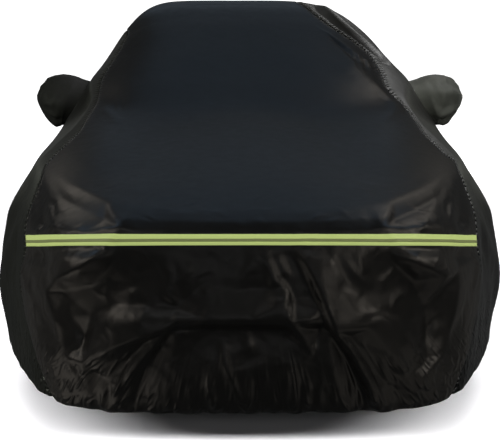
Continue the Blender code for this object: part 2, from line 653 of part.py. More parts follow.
def build_cover():
    clear_scene()
    collection = bpy.data.collections.new("car_cover")
    cutters = bpy.data.collections.new("cutters")
    for group in (collection, cutters):
        bpy.context.scene.collection.children.link(group)

    cloth = make_material("coated black cloth", (0.012, 0.014, 0.018), 0.42)
    side_cloth = make_material("coated side cloth", (0.016, 0.016, 0.014), 0.45)
    lime = make_material("lime tape", (0.52, 0.66, 0.16), 0.40)
    grey = make_material("grey reflecting strip", (0.22, 0.25, 0.10), 0.35)

    places = row_places()
    middle = centre_grid(places)
    flanks = {side: side_grid(places, side) for side in (-1, 1)}
    open_seam(middle, 0, 1, flanks[-1])
    open_seam(middle, -1, -2, flanks[1])

    centre = cloth_mesh("centre_panel", middle)
    panel = add_piece("centre_panel", centre, cloth, collection)
    thicken(panel, CLOTH, 1.0)

    for side, word in ((-1, "left"), (1, "right")):
        name = f"side_panel_{word}"
        mesh = cloth_mesh(name, flanks[side], flip=side < 0)
        piece = add_piece(name, mesh, side_cloth, collection)
        thicken(piece, CLOTH, 1.0)
        opening = piece.modifiers.new("mirror opening", "BOOLEAN")
        opening.operation = "DIFFERENCE"
        opening.solver = "EXACT"
        opening.object = opening_cutter(side, cutters)
        build_pocket(side, f"mirror_pocket_{word}", mesh, side_cloth, collection)

    low, top = row_number("tape low"), row_number("tape top")
    third = (top - low) / 3.0
    build_band("reflective_tape", centre, places, low, top, LAY_GAP, TAPE_THICK, lime, collection)
    lift = LAY_GAP * 2.0 + TAPE_THICK
    build_band("reflective_strip", centre, places, low + third, top - third, lift, STRIP_THICK, grey, collection)


build_cover()
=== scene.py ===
"""Looks of a fitted car cover: coated cloth over a hollow, with stitched seams, a gathered hem, mirror
pockets and a reflective tape across the nose.

Places are written as distances across, behind the nose and above the ground. The tables give them in
millimetres and all else is in metres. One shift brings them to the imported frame, whose origin is on the
inside of the cloth at the highest point of the roof.
"""

import math

import bpy
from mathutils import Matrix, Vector, noise
from mathutils.bvhtree import BVHTree
from mathutils.geometry import delaunay_2d_cdt


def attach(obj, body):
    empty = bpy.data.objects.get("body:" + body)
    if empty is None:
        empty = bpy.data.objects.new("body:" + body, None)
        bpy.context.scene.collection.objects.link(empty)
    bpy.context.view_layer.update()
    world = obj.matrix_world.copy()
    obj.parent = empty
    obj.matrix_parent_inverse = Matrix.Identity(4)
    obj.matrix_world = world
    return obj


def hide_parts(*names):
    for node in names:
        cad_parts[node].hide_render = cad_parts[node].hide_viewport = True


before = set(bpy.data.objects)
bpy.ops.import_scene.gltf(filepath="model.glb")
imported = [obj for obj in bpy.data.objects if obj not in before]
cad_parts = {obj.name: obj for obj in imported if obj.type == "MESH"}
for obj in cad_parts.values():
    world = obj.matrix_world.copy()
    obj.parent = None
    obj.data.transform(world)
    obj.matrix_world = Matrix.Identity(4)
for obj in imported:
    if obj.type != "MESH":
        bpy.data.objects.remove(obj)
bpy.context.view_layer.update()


def metres(sizes):
    """Sizes in millimetres, single or in tables, in metres. Names stay as they are."""
    if isinstance(sizes, tuple):
        return tuple(metres(size) for size in sizes)
    return sizes if isinstance(sizes, str) else sizes / 1000.0


# ---------------------------------------------------------------- the cover's sizes, as the solids have them

CLOTH = 0.002            # thickness of the coated cloth
LAY_GAP = 0.0003         # between a piece and the cloth that it lies on
TAPE_THICK = 0.0006
STRIP_THICK = 0.0005

HEM_HEIGHT = 0.200       # of the lower edge above the ground
ROOF_BACK = 2.400        # of the highest point of the roof, behind the nose
ROOF_HEIGHT = 1.468      # of the inside of the cloth there, above the ground
ROOF_LEAN = 0.036        # the right roof edge sits this much closer in than the left one
LEAN_FROM = 1.08         # height where that lean starts
LEAN_OVER = 0.20         # and over how much more height it grows

# Half width of the cover at a distance behind the nose (rows) and a height above the ground (columns)
WIDTH_HEIGHTS = metres((200, 450, 650, 800, 900, 1000, 1100, 1200, 1300, 1420))
HALF_WIDTHS = metres((
    (250, (665, 690, 660, 630, 600, 570, 540, 510, 480, 450)),
    (420, (744, 746, 715, 680, 640, 600, 570, 540, 510, 480)),
    (550, (798, 800, 767, 722, 680, 630, 590, 550, 520, 490)),
    (700, (852, 862, 825, 755, 700, 640, 600, 560, 530, 500)),
    (850, (893, 912, 885, 800, 722, 650, 600, 570, 540, 510)),
    (1050, (905, 924, 905, 830, 722, 640, 600, 580, 550, 510)),
    (1400, (908, 928, 920, 872, 780, 668, 620, 590, 560, 520)),
    (1750, (910, 928, 925, 885, 830, 775, 706, 640, 590, 540)),
    (2050, (910, 928, 925, 885, 832, 776, 712, 655, 608, 550)),
    (2900, (910, 928, 925, 885, 832, 776, 712, 655, 608, 550)),
    (3400, (895, 915, 912, 872, 812, 750, 682, 620, 565, 510)),
    (3700, (855, 878, 872, 830, 772, 705, 630, 560, 510, 460)),
    (3880, (790, 812, 806, 765, 712, 650, 580, 520, 470, 420)),
    (4020, (712, 730, 725, 688, 630, 560, 500, 450, 410, 370)),
))

# Rows of cloth from the front hem over the roof to the rear hem. Each runs from the middle line out to the
# shoulder edge, both as (back, height). square is how late it turns down towards the edge, on the left and
# on the right. seam is where the sewn seam lies, as a share of the half width, left and right. steps are
# the mesh rows up to the next row.
ROWS = (
    # name, middle, edge, square, seam, steps
    ("front hem", (66, 200), (250, 200), (4.4, 4.4), (0.915, 0.945), 4),
    ("hem roll", (48, 222), (270, 222), (4.4, 4.4), (0.915, 0.945), 18),
    ("skirt", (18, 330), (342, 290), (4.4, 4.4), (0.91, 0.935), 16),
    ("bumper low", (4, 430), (410, 362), (4.4, 4.4), (0.925, 0.945), 13),
    ("bumper lip", (-8, 510), (468, 430), (4.4, 4.4), (0.943, 0.965), 18),
    ("bumper top", (-4, 620), (522, 522), (4.4, 4.4), (0.94, 0.97), 15),
    ("tape low", (4, 710.5), (555, 595), (4.4, 4.4), (0.91, 0.95), 8),
    ("tape top", (14, 750.5), (585, 641), (4.4, 4.4), (0.92, 0.95), 8),
    ("nose", (38, 772), (690, 752), (4.3, 4.3), (0.915, 0.95), 7),
    ("bonnet edge", (78, 789), (800, 842), (4.2, 4.2), (0.92, 0.95), 6),
    ("bonnet nose", (180, 822), (860, 864), (4.2, 4.2), (0.94, 0.965), 6),
    ("bonnet front", (360, 863), (935, 890), (4.2, 4.2), (0.94, 0.95), 6),
    ("bonnet middle", (640, 911), (1080, 938), (4.2, 4.2), (0.94, 0.955), 6),
    ("bonnet rear", (920, 954), (1240, 982), (4.2, 4.2), (0.96, 0.975), 6),
    ("screen foot", (1150, 998), (1410, 1028), (4.0, 4.0), (0.965, 0.95), 6),
    ("screen low", (1380, 1118), (1600, 1082), (4.0, 4.0), (0.93, 0.825), 7),
    ("screen middle", (1620, 1250), (1780, 1140), (4.2, 4.0), (0.89, 0.79), 8),
    ("screen high", (1860, 1365), (1940, 1205), (5.0, 4.0), (0.87, 0.555), 14),
    ("roof front", (2080, 1434), (2110, 1268), (6.5, 3.9), (0.94, 0.45), 14),
    ("roof crest", (2400, 1468), (2400, 1290), (7.5, 3.9), (0.97, 0.4), 6),
    ("roof middle", (2850, 1462), (2850, 1285), (7.0, 5.0), (1.0, 0.7), 4),
    ("roof rear", (3320, 1412), (3280, 1235), (6.0, 5.5), (1.0, 0.95), 5),
    ("rear window", (3720, 1262), (3600, 1120), (5.0, 5.0), (1.0, 1.0), 4),
    ("tail edge", (4020, 1055), (3800, 962), (4.4, 4.4), (1.0, 1.0), 4),
    ("tail", (4190, 900), (3890, 830), (3.8, 3.8), (1.0, 1.0), 4),
    ("tail low", (4285, 640), (3950, 610), (3.6, 3.6), (1.0, 1.0), 4),
    ("rear bumper", (4300, 430), (3985, 415), (3.6, 3.6), (1.0, 1.0), 4),
    ("rear roll", (4272, 225), (4010, 225), (3.8, 3.8), (1.0, 1.0), 2),
    ("rear hem", (4255, 200), (4020, 200), (3.8, 3.8), (1.0, 1.0), 0),
)
ROWS = [(name, metres(middle), metres(edge), *shares) for name, middle, edge, *shares in ROWS]
PANEL_COLUMNS = 212             # of the centre panel
PANEL_COLUMNS_CLOSER = 0.15     # how much closer together they are by the seams
SIDE_COLUMNS = 72               # of a side panel, from the seam down to the hem
SIDE_COLUMNS_CLOSER = 1.25      # above 1 they are closer together by the seam

# Main folds on the nose, seen from the front: the points (across, height) that the fold runs through, its
# half widths on the left and the right of that run, and how far it stands out, or in when it is negative
NOSE_FOLDS = metres((
    # name, run, half widths, out
    ("lamp shelf left", ((-700, 842), (-570, 812), (-423, 778), (-366, 755)), (30, 30), 7),
    ("lamp fold left", ((-366, 750), (-406, 704), (-471, 642), (-540, 604)), (22, 34), 13),
    ("lamp hollow left", ((-645, 735), (-615, 640)), (30, 30), -20),
    ("basin left", ((-335, 655), (-450, 565), (-500, 430)), (66, 66), -30),
    ("corner band left", ((-690, 560), (-650, 440), (-590, 310), (-550, 215)), (44, 60), 20),
    ("fist top", ((-430, 484), (-345, 520), (-240, 500)), (30, 40), 20),
    ("fist cheek", ((-430, 430), (-340, 450)), (50, 50), 16),
    ("fist line", ((-400, 502), (-457, 420), (-510, 340)), (24, 20), 10),
    ("fan fold left", ((-238, 479), (-317, 376), (-377, 291), (-404, 214)), (24, 32), 15),
    ("fan valley left", ((-218, 480), (-262, 362), (-305, 233)), (26, 26), -14),
    ("fan fold middle", ((-195, 470), (-205, 350), (-215, 214)), (24, 24), 9),
    ("bumper lip", ((-205, 520), (0, 518), (215, 515)), (26, 34), 12),
    ("under the lip", ((-180, 462), (0, 460), (190, 455)), (34, 34), -14),
    ("pinch", ((-190, 600), (-208, 535)), (18, 18), -8),
    ("lamp shelf right", ((383, 757), (424, 776), (607, 815), (749, 838)), (30, 30), 7),
    ("lamp fold right", ((380, 752), (424, 697), (470, 646), (560, 602), (630, 600)), (34, 22), 13),
    ("lamp hollow right", ((670, 730), (645, 630)), (32, 30), -21),
    ("basin right", ((390, 650), (500, 565), (540, 420)), (66, 66), -32),
    ("corner band right", ((735, 560), (690, 440), (620, 310), (570, 215)), (60, 44), 20),
    ("diagonal band", ((165, 700), (245, 596), (345, 485), (440, 380), (500, 290)), (50, 34), 22),
    ("diagonal valley", ((105, 700), (180, 570), (212, 470), (270, 380), (335, 262)), (24, 30), -16),
    ("slant ridge", ((15, 705), (85, 565), (115, 486), (160, 391)), (16, 26), 9),
    ("hem ridge right", ((229, 450), (248, 324), (280, 215)), (24, 20), 12),
    ("hem valley right", ((262, 440), (310, 328), (338, 221)), (22, 22), -11),
    ("hem ridge outer", ((300, 418), (367, 292), (406, 206)), (24, 24), 12),
    ("hem ridge left", ((-117, 390), (-102, 210)), (24, 20), 9),
    ("hem ridge middle", ((-60, 464), (-35, 325), (-5, 208)), (20, 24), 10),
    ("hem ridge inner", ((130, 360), (140, 210)), (22, 22), 9),
))
NOSE_FOLDS_BACK = 0.75          # no nose fold lies further back than this
NOSE_FOLDS_TOP = 0.86           # nor higher
NOSE_FADE_BACK = 0.10           # and they fade out over this distance
NOSE_FADE_TOP = 0.06            # and this height

# Creases that part the facets of the slack cloth on the nose, seen from the front. Each runs through points
# (across, height, out), and the cloth lies flat between them.
FACET_CREASES = metres((
    ("shelf edge", ((-700, 862, 4), (-560, 835, 8), (-420, 806, 9), (-300, 790, 6), (-100, 792, 3),
        (100, 792, 3), (300, 790, 6), (420, 806, 9), (560, 835, 8), (700, 862, 4))),
    ("lamp tops", ((-710, 842, 0), (-575, 806, -10), (-420, 778, -8), (-365, 758, 4), (-200, 756, -3),
        (0, 756, -3), (200, 756, -3), (385, 758, 4), (420, 778, -8), (590, 810, -10), (710, 842, 0))),
    # left lamp, its hollows and the corner of the nose
    ("lamp foot left", ((-365, 758, 4), (-405, 705, 26), (-475, 640, 36), (-545, 600, 24))),
    ("lamp side left", ((-645, 805, -6), (-600, 745, -4), (-575, 680, 4), (-545, 600, 24))),
    ("upper hollow left", ((-700, 700, 0), (-655, 730, -14), (-620, 700, 2))),
    ("lower hollow left", ((-700, 600, 0), (-645, 645, -16), (-600, 610, 6))),
    ("corner ridge left", ((-545, 600, 24), (-590, 550, 18), (-560, 480, 22), (-530, 365, 24),
        (-485, 315, 18), (-465, 250, 12), (-455, 200, 6))),
    ("corner foot left", ((-550, 560, -2), (-525, 480, -4), (-497, 390, -2), (-455, 325, 0))),
    # left basin and the bulge below it
    ("basin left", ((-395, 655, 0), (-455, 590, -6), (-475, 500, -14), (-500, 420, -18))),
    ("basin swell", ((-400, 605, -9), (-330, 600, -6), (-270, 580, -5))),
    ("bulge foot", ((-445, 480, -10), (-385, 540, -8), (-290, 548, -4))),
    ("bulge crest", ((-505, 335, 10), (-455, 375, 22), (-385, 425, 28), (-310, 462, 26), (-240, 478, 10))),
    ("fan ridge", ((-240, 468, 8), (-315, 385, 14), (-380, 285, 14), (-412, 212, 8))),
    ("fan ditch", ((-225, 468, -6), (-290, 365, -6), (-340, 250, -4))),
    ("fan ditch outer", ((-290, 440, 0), (-350, 370, -6), (-410, 300, -6))),
    ("second fan ridge", ((-212, 460, 0), (-275, 310, 8), (-320, 215, 6))),
    # the middle: a lip along the bumper, dark below it
    ("lip", ((-205, 507, 10), (-100, 504, 12), (0, 504, 12), (110, 503, 13), (205, 505, 10))),
    ("under the lip", ((-195, 474, -10), (-100, 470, -13), (0, 470, -13), (100, 468, -13),
        (200, 470, -10))),
    ("above the lip", ((-215, 590, 0), (-130, 610, -6), (-40, 590, -2), (50, 600, -6), (105, 600, 4))),
    ("pinch", ((-225, 700, 2), (-200, 600, -4), (-208, 535, -10))),
    ("slant ridge", ((32, 708, 4), (72, 622, 10), (105, 560, 14), (142, 470, 14), (188, 385, 4))),
    ("slant foot", ((58, 708, -2), (95, 622, -4), (128, 560, -6), (172, 470, -6))),
    # the light band that slants down to the right
    ("band ridge", ((140, 706, 6), (205, 575, 26), (240, 485, 32), (300, 405, 30), (365, 280, 22),
        (390, 205, 12))),
    ("band back", ((118, 706, -2), (182, 575, 0), (214, 485, -4), (270, 400, -8), (330, 280, -8),
        (350, 205, -4))),
    ("band foot", ((205, 706, 0), (282, 600, -4), (335, 562, -8), (440, 500, -6), (487, 430, -2),
        (522, 350, 0))),
    ("band crease", ((262, 590, 4), (345, 480, 7), (405, 400, 12), (445, 330, 9))),
    ("hem fold outer", ((282, 455, 6), (352, 340, -6), (405, 290, -4), (440, 215, 0))),
    ("hem fold inner", ((228, 455, 4), (240, 360, 10), (286, 212, 10))),
    # right lamp, its hollows and the corner of the nose
    ("lamp foot right", ((385, 758, 4), (430, 700, 26), (475, 652, 34), (560, 603, 26), (620, 604, 8))),
    ("lamp side right", ((655, 800, -6), (620, 745, -4), (585, 680, 4), (560, 603, 26))),
    ("upper hollow right", ((722, 700, 0), (672, 730, -14), (635, 700, 2))),
    ("lower hollow right", ((720, 600, 0), (650, 645, -16), (620, 604, 8))),
    ("corner ridge right", ((620, 604, 8), (612, 550, 18), (600, 490, 22), (565, 365, 24),
        (502, 305, 16), (485, 250, 10), (480, 200, 6))),
    ("corner foot right", ((575, 560, -2), (562, 480, -4), (530, 385, -2), (475, 325, 0))),
    ("basin right", ((405, 670, 0), (480, 600, -6), (525, 520, -14), (545, 440, -18))),
))
FACET_LOW, FACET_HIGH = (-1.0, 0.15), (1.0, 0.90)   # corners of the net of facets
CREASE_ROUND = 0.0035           # how far to either side a crease is rounded
TAPE_HOLDS = 0.40               # share of a fold that is left under the tape, which is drawn straight
TAPE_HOLD_ROWS = 0.45           # and how soon beside it a fold has its full size, in rows of the table
SOLID_FOLDS = 0.30              # share of the solids' rounded folds that lies under the facets

# Thin sharp creases on the nose, which fade out towards both ends
NOSE_CREASES = metres((
    # name, run, half widths, out
    ("slit 1", ((70, 705), (118, 615)), (10, 16), 7),
    ("slit 2", ((215, 700), (262, 600)), (10, 16), 7),
    ("slit 3", ((300, 700), (330, 625)), (10, 16), 5),
    ("slit 4", ((255, 700), (300, 640), (355, 585)), (10, 16), 5),
    ("lamp nick left", ((-648, 790), (-610, 785), (-590, 750)), (6, 6), -6),
    ("lamp nick right", ((655, 788), (620, 785), (605, 752)), (6, 6), -6),
    ("lamp crease left", ((-600, 740), (-560, 735), (-540, 700)), (5, 8), 4),
    ("lamp crease right", ((570, 700), (520, 640), (500, 630)), (5, 8), 4),
    ("hem streak 1", ((-122, 350), (-104, 210)), (10, 13), 9),
    ("hem streak 2", ((-82, 465), (-66, 360), (-24, 250), (-8, 208)), (10, 14), 12),
    ("hem streak 3", ((-18, 490), (10, 385)), (10, 13), 8),
    ("hem streak 4", ((0, 360), (-6, 215)), (10, 13), 9),
    ("hem streak 5", ((125, 365), (134, 210)), (10, 13), 9),
    ("hem streak 6", ((168, 330), (172, 210)), (10, 13), 8),
    ("hem streak 7", ((205, 330), (206, 210)), (10, 13), 8),
    ("hem streak 8", ((-175, 330), (-165, 210)), (11, 13), 5),
    ("hem streak 9", ((-235, 320), (-250, 212)), (11, 13), 5),
    ("hem streak 10", ((60, 330), (70, 215)), (13, 13), 5),
    ("fan crumple 1", ((-370, 330), (-425, 270), (-430, 215)), (11, 14), 8),
    ("fan crumple 2", ((-330, 300), (-365, 215)), (10, 14), 8),
    ("band nick 1", ((445, 470), (480, 390), (520, 340)), (8, 13), 8),
    ("band nick 2", ((410, 420), (440, 350), (470, 320)), (8, 13), 7),
    ("band nick 3", ((375, 400), (400, 320), (425, 260)), (8, 13), 7),
    ("hem streak 11", ((330, 330), (375, 215)), (8, 13), 8),
    ("hem streak 12", ((400, 290), (430, 215)), (8, 13), 7),
    ("hook", ((-130, 600), (-118, 588), (-110, 598)), (6, 6), 3),
    ("corner curl left", ((-735, 600), (-690, 545), (-670, 500)), (8, 12), 7),
    ("corner curl left 2", ((-735, 560), (-700, 500)), (8, 10), 5),
    ("corner curl right", ((735, 600), (700, 545), (680, 500)), (12, 8), 7),
    ("corner curl right 2", ((740, 560), (705, 490)), (10, 8), 5),
))
NOSE_CREASE_FADE = 0.35         # share of its length over which such a crease fades out, at each end

# Folds on the bonnet, screen, roof and tail, seen from above, with points (across, back)
TOP_FOLDS = metres((
    # name, run, half widths, out
    ("screen fold", ((420, 1500), (520, 1420), (590, 1330)), (50, 60), 12),
    ("bonnet dish left", ((-380, 480), (-330, 1000)), (150, 150), -10),
    ("bonnet dish right", ((360, 450), (300, 1050)), (150, 150), -10),
    ("bonnet crown", ((0, 300), (0, 1050)), (170, 170), 8),
    ("tail drape left", ((-250, 3500), (-420, 4000)), (70, 50), 12),
    ("tail drape right", ((300, 3550), (400, 4050)), (60, 50), 12),
))
# Thin sharp creases there
TOP_CREASES = metres((
    ("screen line", ((330, 1760), (413, 1655), (455, 1592), (508, 1560), (570, 1545)), (14, 10), -12),
    ("screen ridge", ((300, 1800), (405, 1690), (470, 1620), (560, 1580)), (12, 16), 9),
    ("screen line 2", ((380, 1640), (450, 1530), (550, 1500)), (8, 20), 6),
    ("seam pull 1", ((420, 1560), (520, 1500)), (8, 14), 4),
    ("seam pull 2", ((500, 1380), (580, 1320)), (8, 20), -5),
    ("seam pull 3", ((-480, 1300), (-570, 1260)), (10, 14), -4),
    ("seam pull 4", ((-470, 1420), (-560, 1450)), (10, 14), 4),
    ("roof front line", ((-330, 2130), (50, 2160)), (20, 20), 3),
    ("shoulder pull left", ((-600, 1320), (-480, 1050)), (10, 20), 5),
    ("shoulder pull right", ((610, 1320), (500, 1080)), (20, 10), 5),
))
TOP_CREASE_FADE = 0.25
TOP_FOLDS_FROM = 0.80           # they start at this height
TOP_FADE = 0.06                 # and reach their full size this much higher

# Folds on the sides, seen from the side: a line between two points (back, height). Side -1 is the left.
SIDE_FOLDS = (
    # name, side, from, to, half width, out
    ("corner pull left", -1, (620, 600), (900, 260), 60, 12),
    ("corner pull right", 1, (640, 620), (940, 260), 60, 12),
    ("wheel hollow left", -1, (1050, 520), (1100, 300), 150, -20),
    ("wheel hollow right", 1, (1080, 500), (1080, 300), 150, -20),
    ("door drape left", -1, (2050, 900), (1900, 250), 80, 14),
    ("door drape right", 1, (2200, 900), (2080, 250), 80, 14),
    ("rear drape left", -1, (2900, 880), (2750, 250), 90, 12),
    ("rear drape right", 1, (2800, 880), (2900, 250), 90, 12),
    ("rear wheel left", -1, (3350, 520), (3350, 300), 150, -18),
    ("rear wheel right", 1, (3350, 500), (3350, 300), 150, -18),
)
# The tuck in the right side panel along the roof's edge: a ditch and a ridge, by distance from the seam
TUCK_ROWS = (15.8, 16.3, 18.3, 19.0)    # it starts, is full, starts to end and ends, along the table of rows
TUCK_AWAY = metres((0, 16, 30, 44, 90, 104, 120, 150, 190))
TUCK_OUT = metres((0, 6, -14, -24, -24, 4, 12, 6, 0))
FOLD_REACH = 2.8                # in half widths: a fold is as good as gone there
PEAK_POWER = 1.25               # of a sharp crease's profile, 2 would be a soft one
SEAM_FADE = 0.040               # every main fold fades out within this distance of a seam

# Mirror pocket: rings from its root on the side panel to its tip, as seen from the front
POCKET_BACK = 1.750             # of its middle, behind the nose
POCKET_RINGS = metres((
    # top (across, height), bottom, half depth
    ((765, 1117), (838, 903), 110),
    ((826, 1127), (862, 904), 108),
    ((880, 1118), (889, 921), 95),
    ((918, 1088), (917, 955), 70),
    ((940, 1052), (939, 993), 36),
))
POCKET_TIP = (0.950, 1.024)
ROOT_TOP = 1.098                # heights of the ends of the oval opening in the side panel
ROOT_BOTTOM = 0.915
ROOT_MIDDLE = (ROOT_TOP + ROOT_BOTTOM) / 2.0
ROOT_HALF_DEPTH = 0.098
ROOT_SQUARE = 2.4               # of its superellipse, 2 is an ellipse
ROOT_INSIDE = 0.004             # the pocket's root reaches this far inside the panel
ROOT_OUTSIDE = 0.012            # and runs straight this far outside
POCKET_ROUND = 0.9              # 1 is an ellipse, less is squarer
CUTTER_SPAN = (0.55, 1.05)      # from and to where, across, the opening is cut

# ---------------------------------------------------------------- sizes that only the looks have

TAPE_FROM, TAPE_TO = 0.155, 0.935   # where the tape lies between its two rows of the table
TAPE_BOW = 0.085                # how much lower its ends lie, the same way
STRIP_FROM, STRIP_TO = 0.27, 0.535  # where the strip lies on the tape
TAPE_STEPS = 6                  # mesh rows of the tape
STRIP_STEPS = 3
POCKET_SIDES = 72
POCKET_STEPS = 7                # mesh rings up to the next one of the table
SEAM_DEEP = 0.0050              # the seam is drawn in
SEAM_WIDE = 0.0065
TOP_SEAM_FADE = 0.014           # folds on the roof run on nearly to the seam
GATHER_PITCH = 0.040            # of the gathers above the hem
GATHER_OUT = 0.0022
GATHER_TOP = 0.360              # height where they start
GATHER_POWER = 1.5              # how late they grow towards the hem
GATHER_WAVE = 1.6               # brings the waves of the noise to their full height
GATHER_SHIFT = {"centre": 10.0, "side": 20.0}   # keeps the panels' gathers apart in the noise
SIDE_GATHERS = 0.5              # share of the gathers that the side panels have
SLACK_TOP = 0.80                # height where the cloth starts to hang slack
SLACK_OVER = 0.25               # and over how much less height it becomes fully so
TIGHT_SHARE = 0.12              # of the unevenness that tight cloth has
CRUMPLE_OUT = 0.0030            # of the unevenness of the slack cloth
CRUMPLES = ((0.6, 0.16, 3.0), (0.4, 0.07, 11.0))    # its layers: share, size and seed
CRUMPLE_MEAN = 0.35             # of such a layer, taken off it
SEAM_PUCKER_PITCH = 0.020       # of the small puckers along a seam, which are in the cloth's relief
SEAM_PUCKER_REACH = 0.034       # they die out this far from the seam
SEAM_PUCKER_OUT = 0.0080
CRINKLE_TIGHT = 0.00060         # depth of the crinkles where the cloth is tight
CRINKLE_SLACK = 0.00450         # and how much deeper they are where it is slack, on the nose
CRINKLE_SIDE = 0.00200          # and on the side panels
HEM_CREASE_OUT = 0.0110         # of the fine creases above the hem
HEM_FAN_TOP = 1.05              # height where they would all meet
THREAD_OUT = 0.00006            # of the weave
STITCH_PITCH = 0.0118           # of the topstitching along a seam
STITCH_LONG = 0.0078
STITCH_THICK = 0.0020
STITCH_IN = 0.0090              # from the seam
STITCH_SWAY = 0.0016            # the line of stitches wavers by this much
STITCH_TURN = 0.25              # and each stitch slants by this much
STITCH_RISE = 0.3               # share of its thickness that its middle lies above the cloth

# Coating: its darker and lighter patches, its roughness and how much deeper it crinkles where it is slack
CENTRE_COATING = ((0.0068, 0.0068, 0.0068), (0.0100, 0.0100, 0.0098), 0.34, CRINKLE_SLACK)
# The side cloth's olive tint and slightly lighter tone are painted light: they stand in for the olive light
# that falls on the side panels and pockets
SIDE_COATING = ((0.0075, 0.0074, 0.0062), (0.0115, 0.0112, 0.0095), 0.40, CRINKLE_SIDE)
THREAD_COLOUR = (0.34, 0.34, 0.32)
# Tape: its ribs, the ground between them, its roughness and its glow, which is painted light: it stands in
# for the light that the tape reflects
LIME_WEAVE = ((0.60, 0.74, 0.26), (0.52, 0.66, 0.19), 0.50, 0.42)
GREY_WEAVE = ((0.30, 0.34, 0.14), (0.25, 0.29, 0.11), 0.45, 0.20)

# What each piece was cut to: width and length, and its area where it isn't a rectangle
CENTRE_CUT = ((2.06, 5.80), 7.7)
TAPE_CUT = (1.87, 0.034)
STRIP_CUT = (1.87, 0.010)
SIDE_CUTS = {-1: ((1.23, 4.25), 3.65), 1: ((1.60, 4.25), 4.08)}
POCKET_CUT = ((0.68, 0.24), 0.136)

# Camera, fitted to the photo's outline
LENS = 72.0
SENSOR = 36.0
EYE_ACROSS = 0.0018
EYE_AHEAD = 2.750               # in front of the nose
EYE_HEIGHT = 1.300
EYE_DOWN = math.radians(10.70)

FLOOR_SIZE = 60.0
FLOOR_COLOUR = (0.92, 0.91, 0.93)
FLOOR_GLOWS = (3.4, 5.0)        # distances over which its glow grows
FLOOR_GLOW = 1.2
BACKDROP_RADIUS = 28.0
BACKDROP_GLOW = 1.3
SURROUNDINGS = ((0.95, 1.0, 1.0, 1.0), 0.04)    # colour and strength of the light from all round


# ---------------------------------------------------------------- helpers

def at_origin(across, back, height):
    """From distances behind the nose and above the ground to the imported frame."""
    return Vector((across, back - ROOF_BACK, height - ROOF_HEIGHT))


def smoothstep(value):
    """From 0 to 1, level at both ends."""
    value = min(max(value, 0.0), 1.0)
    return value * value * (3.0 - 2.0 * value)


def smooth_curve(places, values, place):
    """A curve through the values that keeps their rises and falls: a monotone cubic."""
    last = len(places) - 1
    if place <= places[0]:
        return values[0]
    if place >= places[last]:
        return values[last]
    step = next(i for i in range(last) if place <= places[i + 1])

    def slope(i):
        if i <= 0 or i >= last:
            near = 1 if i == 0 else last - 1
            return (values[near] - values[i]) / (places[near] - places[i])
        before = (values[i] - values[i - 1]) / (places[i] - places[i - 1])
        after = (values[i + 1] - values[i]) / (places[i + 1] - places[i])
        if before * after <= 0.0:
            return 0.0
        return 2.0 * before * after / (before + after)

    span = places[step + 1] - places[step]
    t = (place - places[step]) / span
    start, end = slope(step) * span, slope(step + 1) * span
    t2, t3 = t * t, t * t * t
    return (
        (2 * t3 - 3 * t2 + 1) * values[step]
        + (t3 - 2 * t2 + t) * start
        + (3 * t2 - 2 * t3) * values[step + 1]
        + (t3 - t2) * end
    )


STATIONS = [station for station, _ in HALF_WIDTHS]


def half_width(back, height, side):
    """Half the width of the cover at a distance behind the nose and a height above the ground."""
    across = [smooth_curve(WIDTH_HEIGHTS, widths, height) for _, widths in HALF_WIDTHS]
    width = smooth_curve(STATIONS, across, back)
    if side > 0:
        width -= ROOF_LEAN * smoothstep((height - LEAN_FROM) / LEAN_OVER)
    return width


def row_places():
    """The mesh rows, as places along the ROWS table."""
    places = []
    for index, row in enumerate(ROWS):
        steps = max(row[-1], 1)
        places.extend(index + step / steps for step in range(steps))
    return places


def row_number(name):
    return next(i for i, row in enumerate(ROWS) if row[0] == name)


class Row:
    """One row of cloth across the cover, at a place along the ROWS table."""

    def __init__(self, place):
        numbers = list(range(len(ROWS)))

        def read(column, item):
            return smooth_curve(numbers, [row[column][item] for row in ROWS], place)

        self.middle = (read(1, 0), read(1, 1))
        self.edge = (read(2, 0), read(2, 1))
        self.square = {-1: read(3, 0), 1: read(3, 1)}
        self.seam = {-1: read(4, 0), 1: read(4, 1)}
        self.edge_across = {side: half_width(self.edge[0], self.edge[1], side) for side in (-1, 1)}

    def on_top(self, side, share):
        """A point between the middle line (share 0) and the shoulder edge (share 1)."""
        turn = share ** self.square[side]
        back = self.middle[0] + (self.edge[0] - self.middle[0]) * turn
        height = self.middle[1] + (self.edge[1] - self.middle[1]) * turn
        return Vector((side * share * self.edge_across[side], back, height))

    def on_side(self, side, share):
        """A point between the seam (share 0) and the hem (share 1)."""
        over_edge = (1.0 - self.seam[side]) * self.edge_across[side]
        drop = self.edge[1] - HEM_HEIGHT
        along = share * (over_edge + drop)
        if along < over_edge:
            return self.on_top(side, self.seam[side] + along / self.edge_across[side])
        height = self.edge[1] - (along - over_edge)
        back = self.edge[0]
        return Vector((side * half_width(back, height, side), back, height))


def line_place(point, start, end):
    """The distance of a point from a stretch of a line, and the share of the stretch that it lies beside."""
    run = (end[0] - start[0], end[1] - start[1])
    length = run[0] ** 2 + run[1] ** 2
    share = ((point[0] - start[0]) * run[0] + (point[1] - start[1]) * run[1]) / length
    share = min(max(share, 0.0), 1.0)
    away = math.hypot(point[0] - start[0] - run[0] * share, point[1] - start[1] - run[1] * share)
    return away, share


def soft_bell(away):
    return math.exp(-away * away)


def sharp_peak(away):
    return math.exp(-abs(away) ** PEAK_POWER)


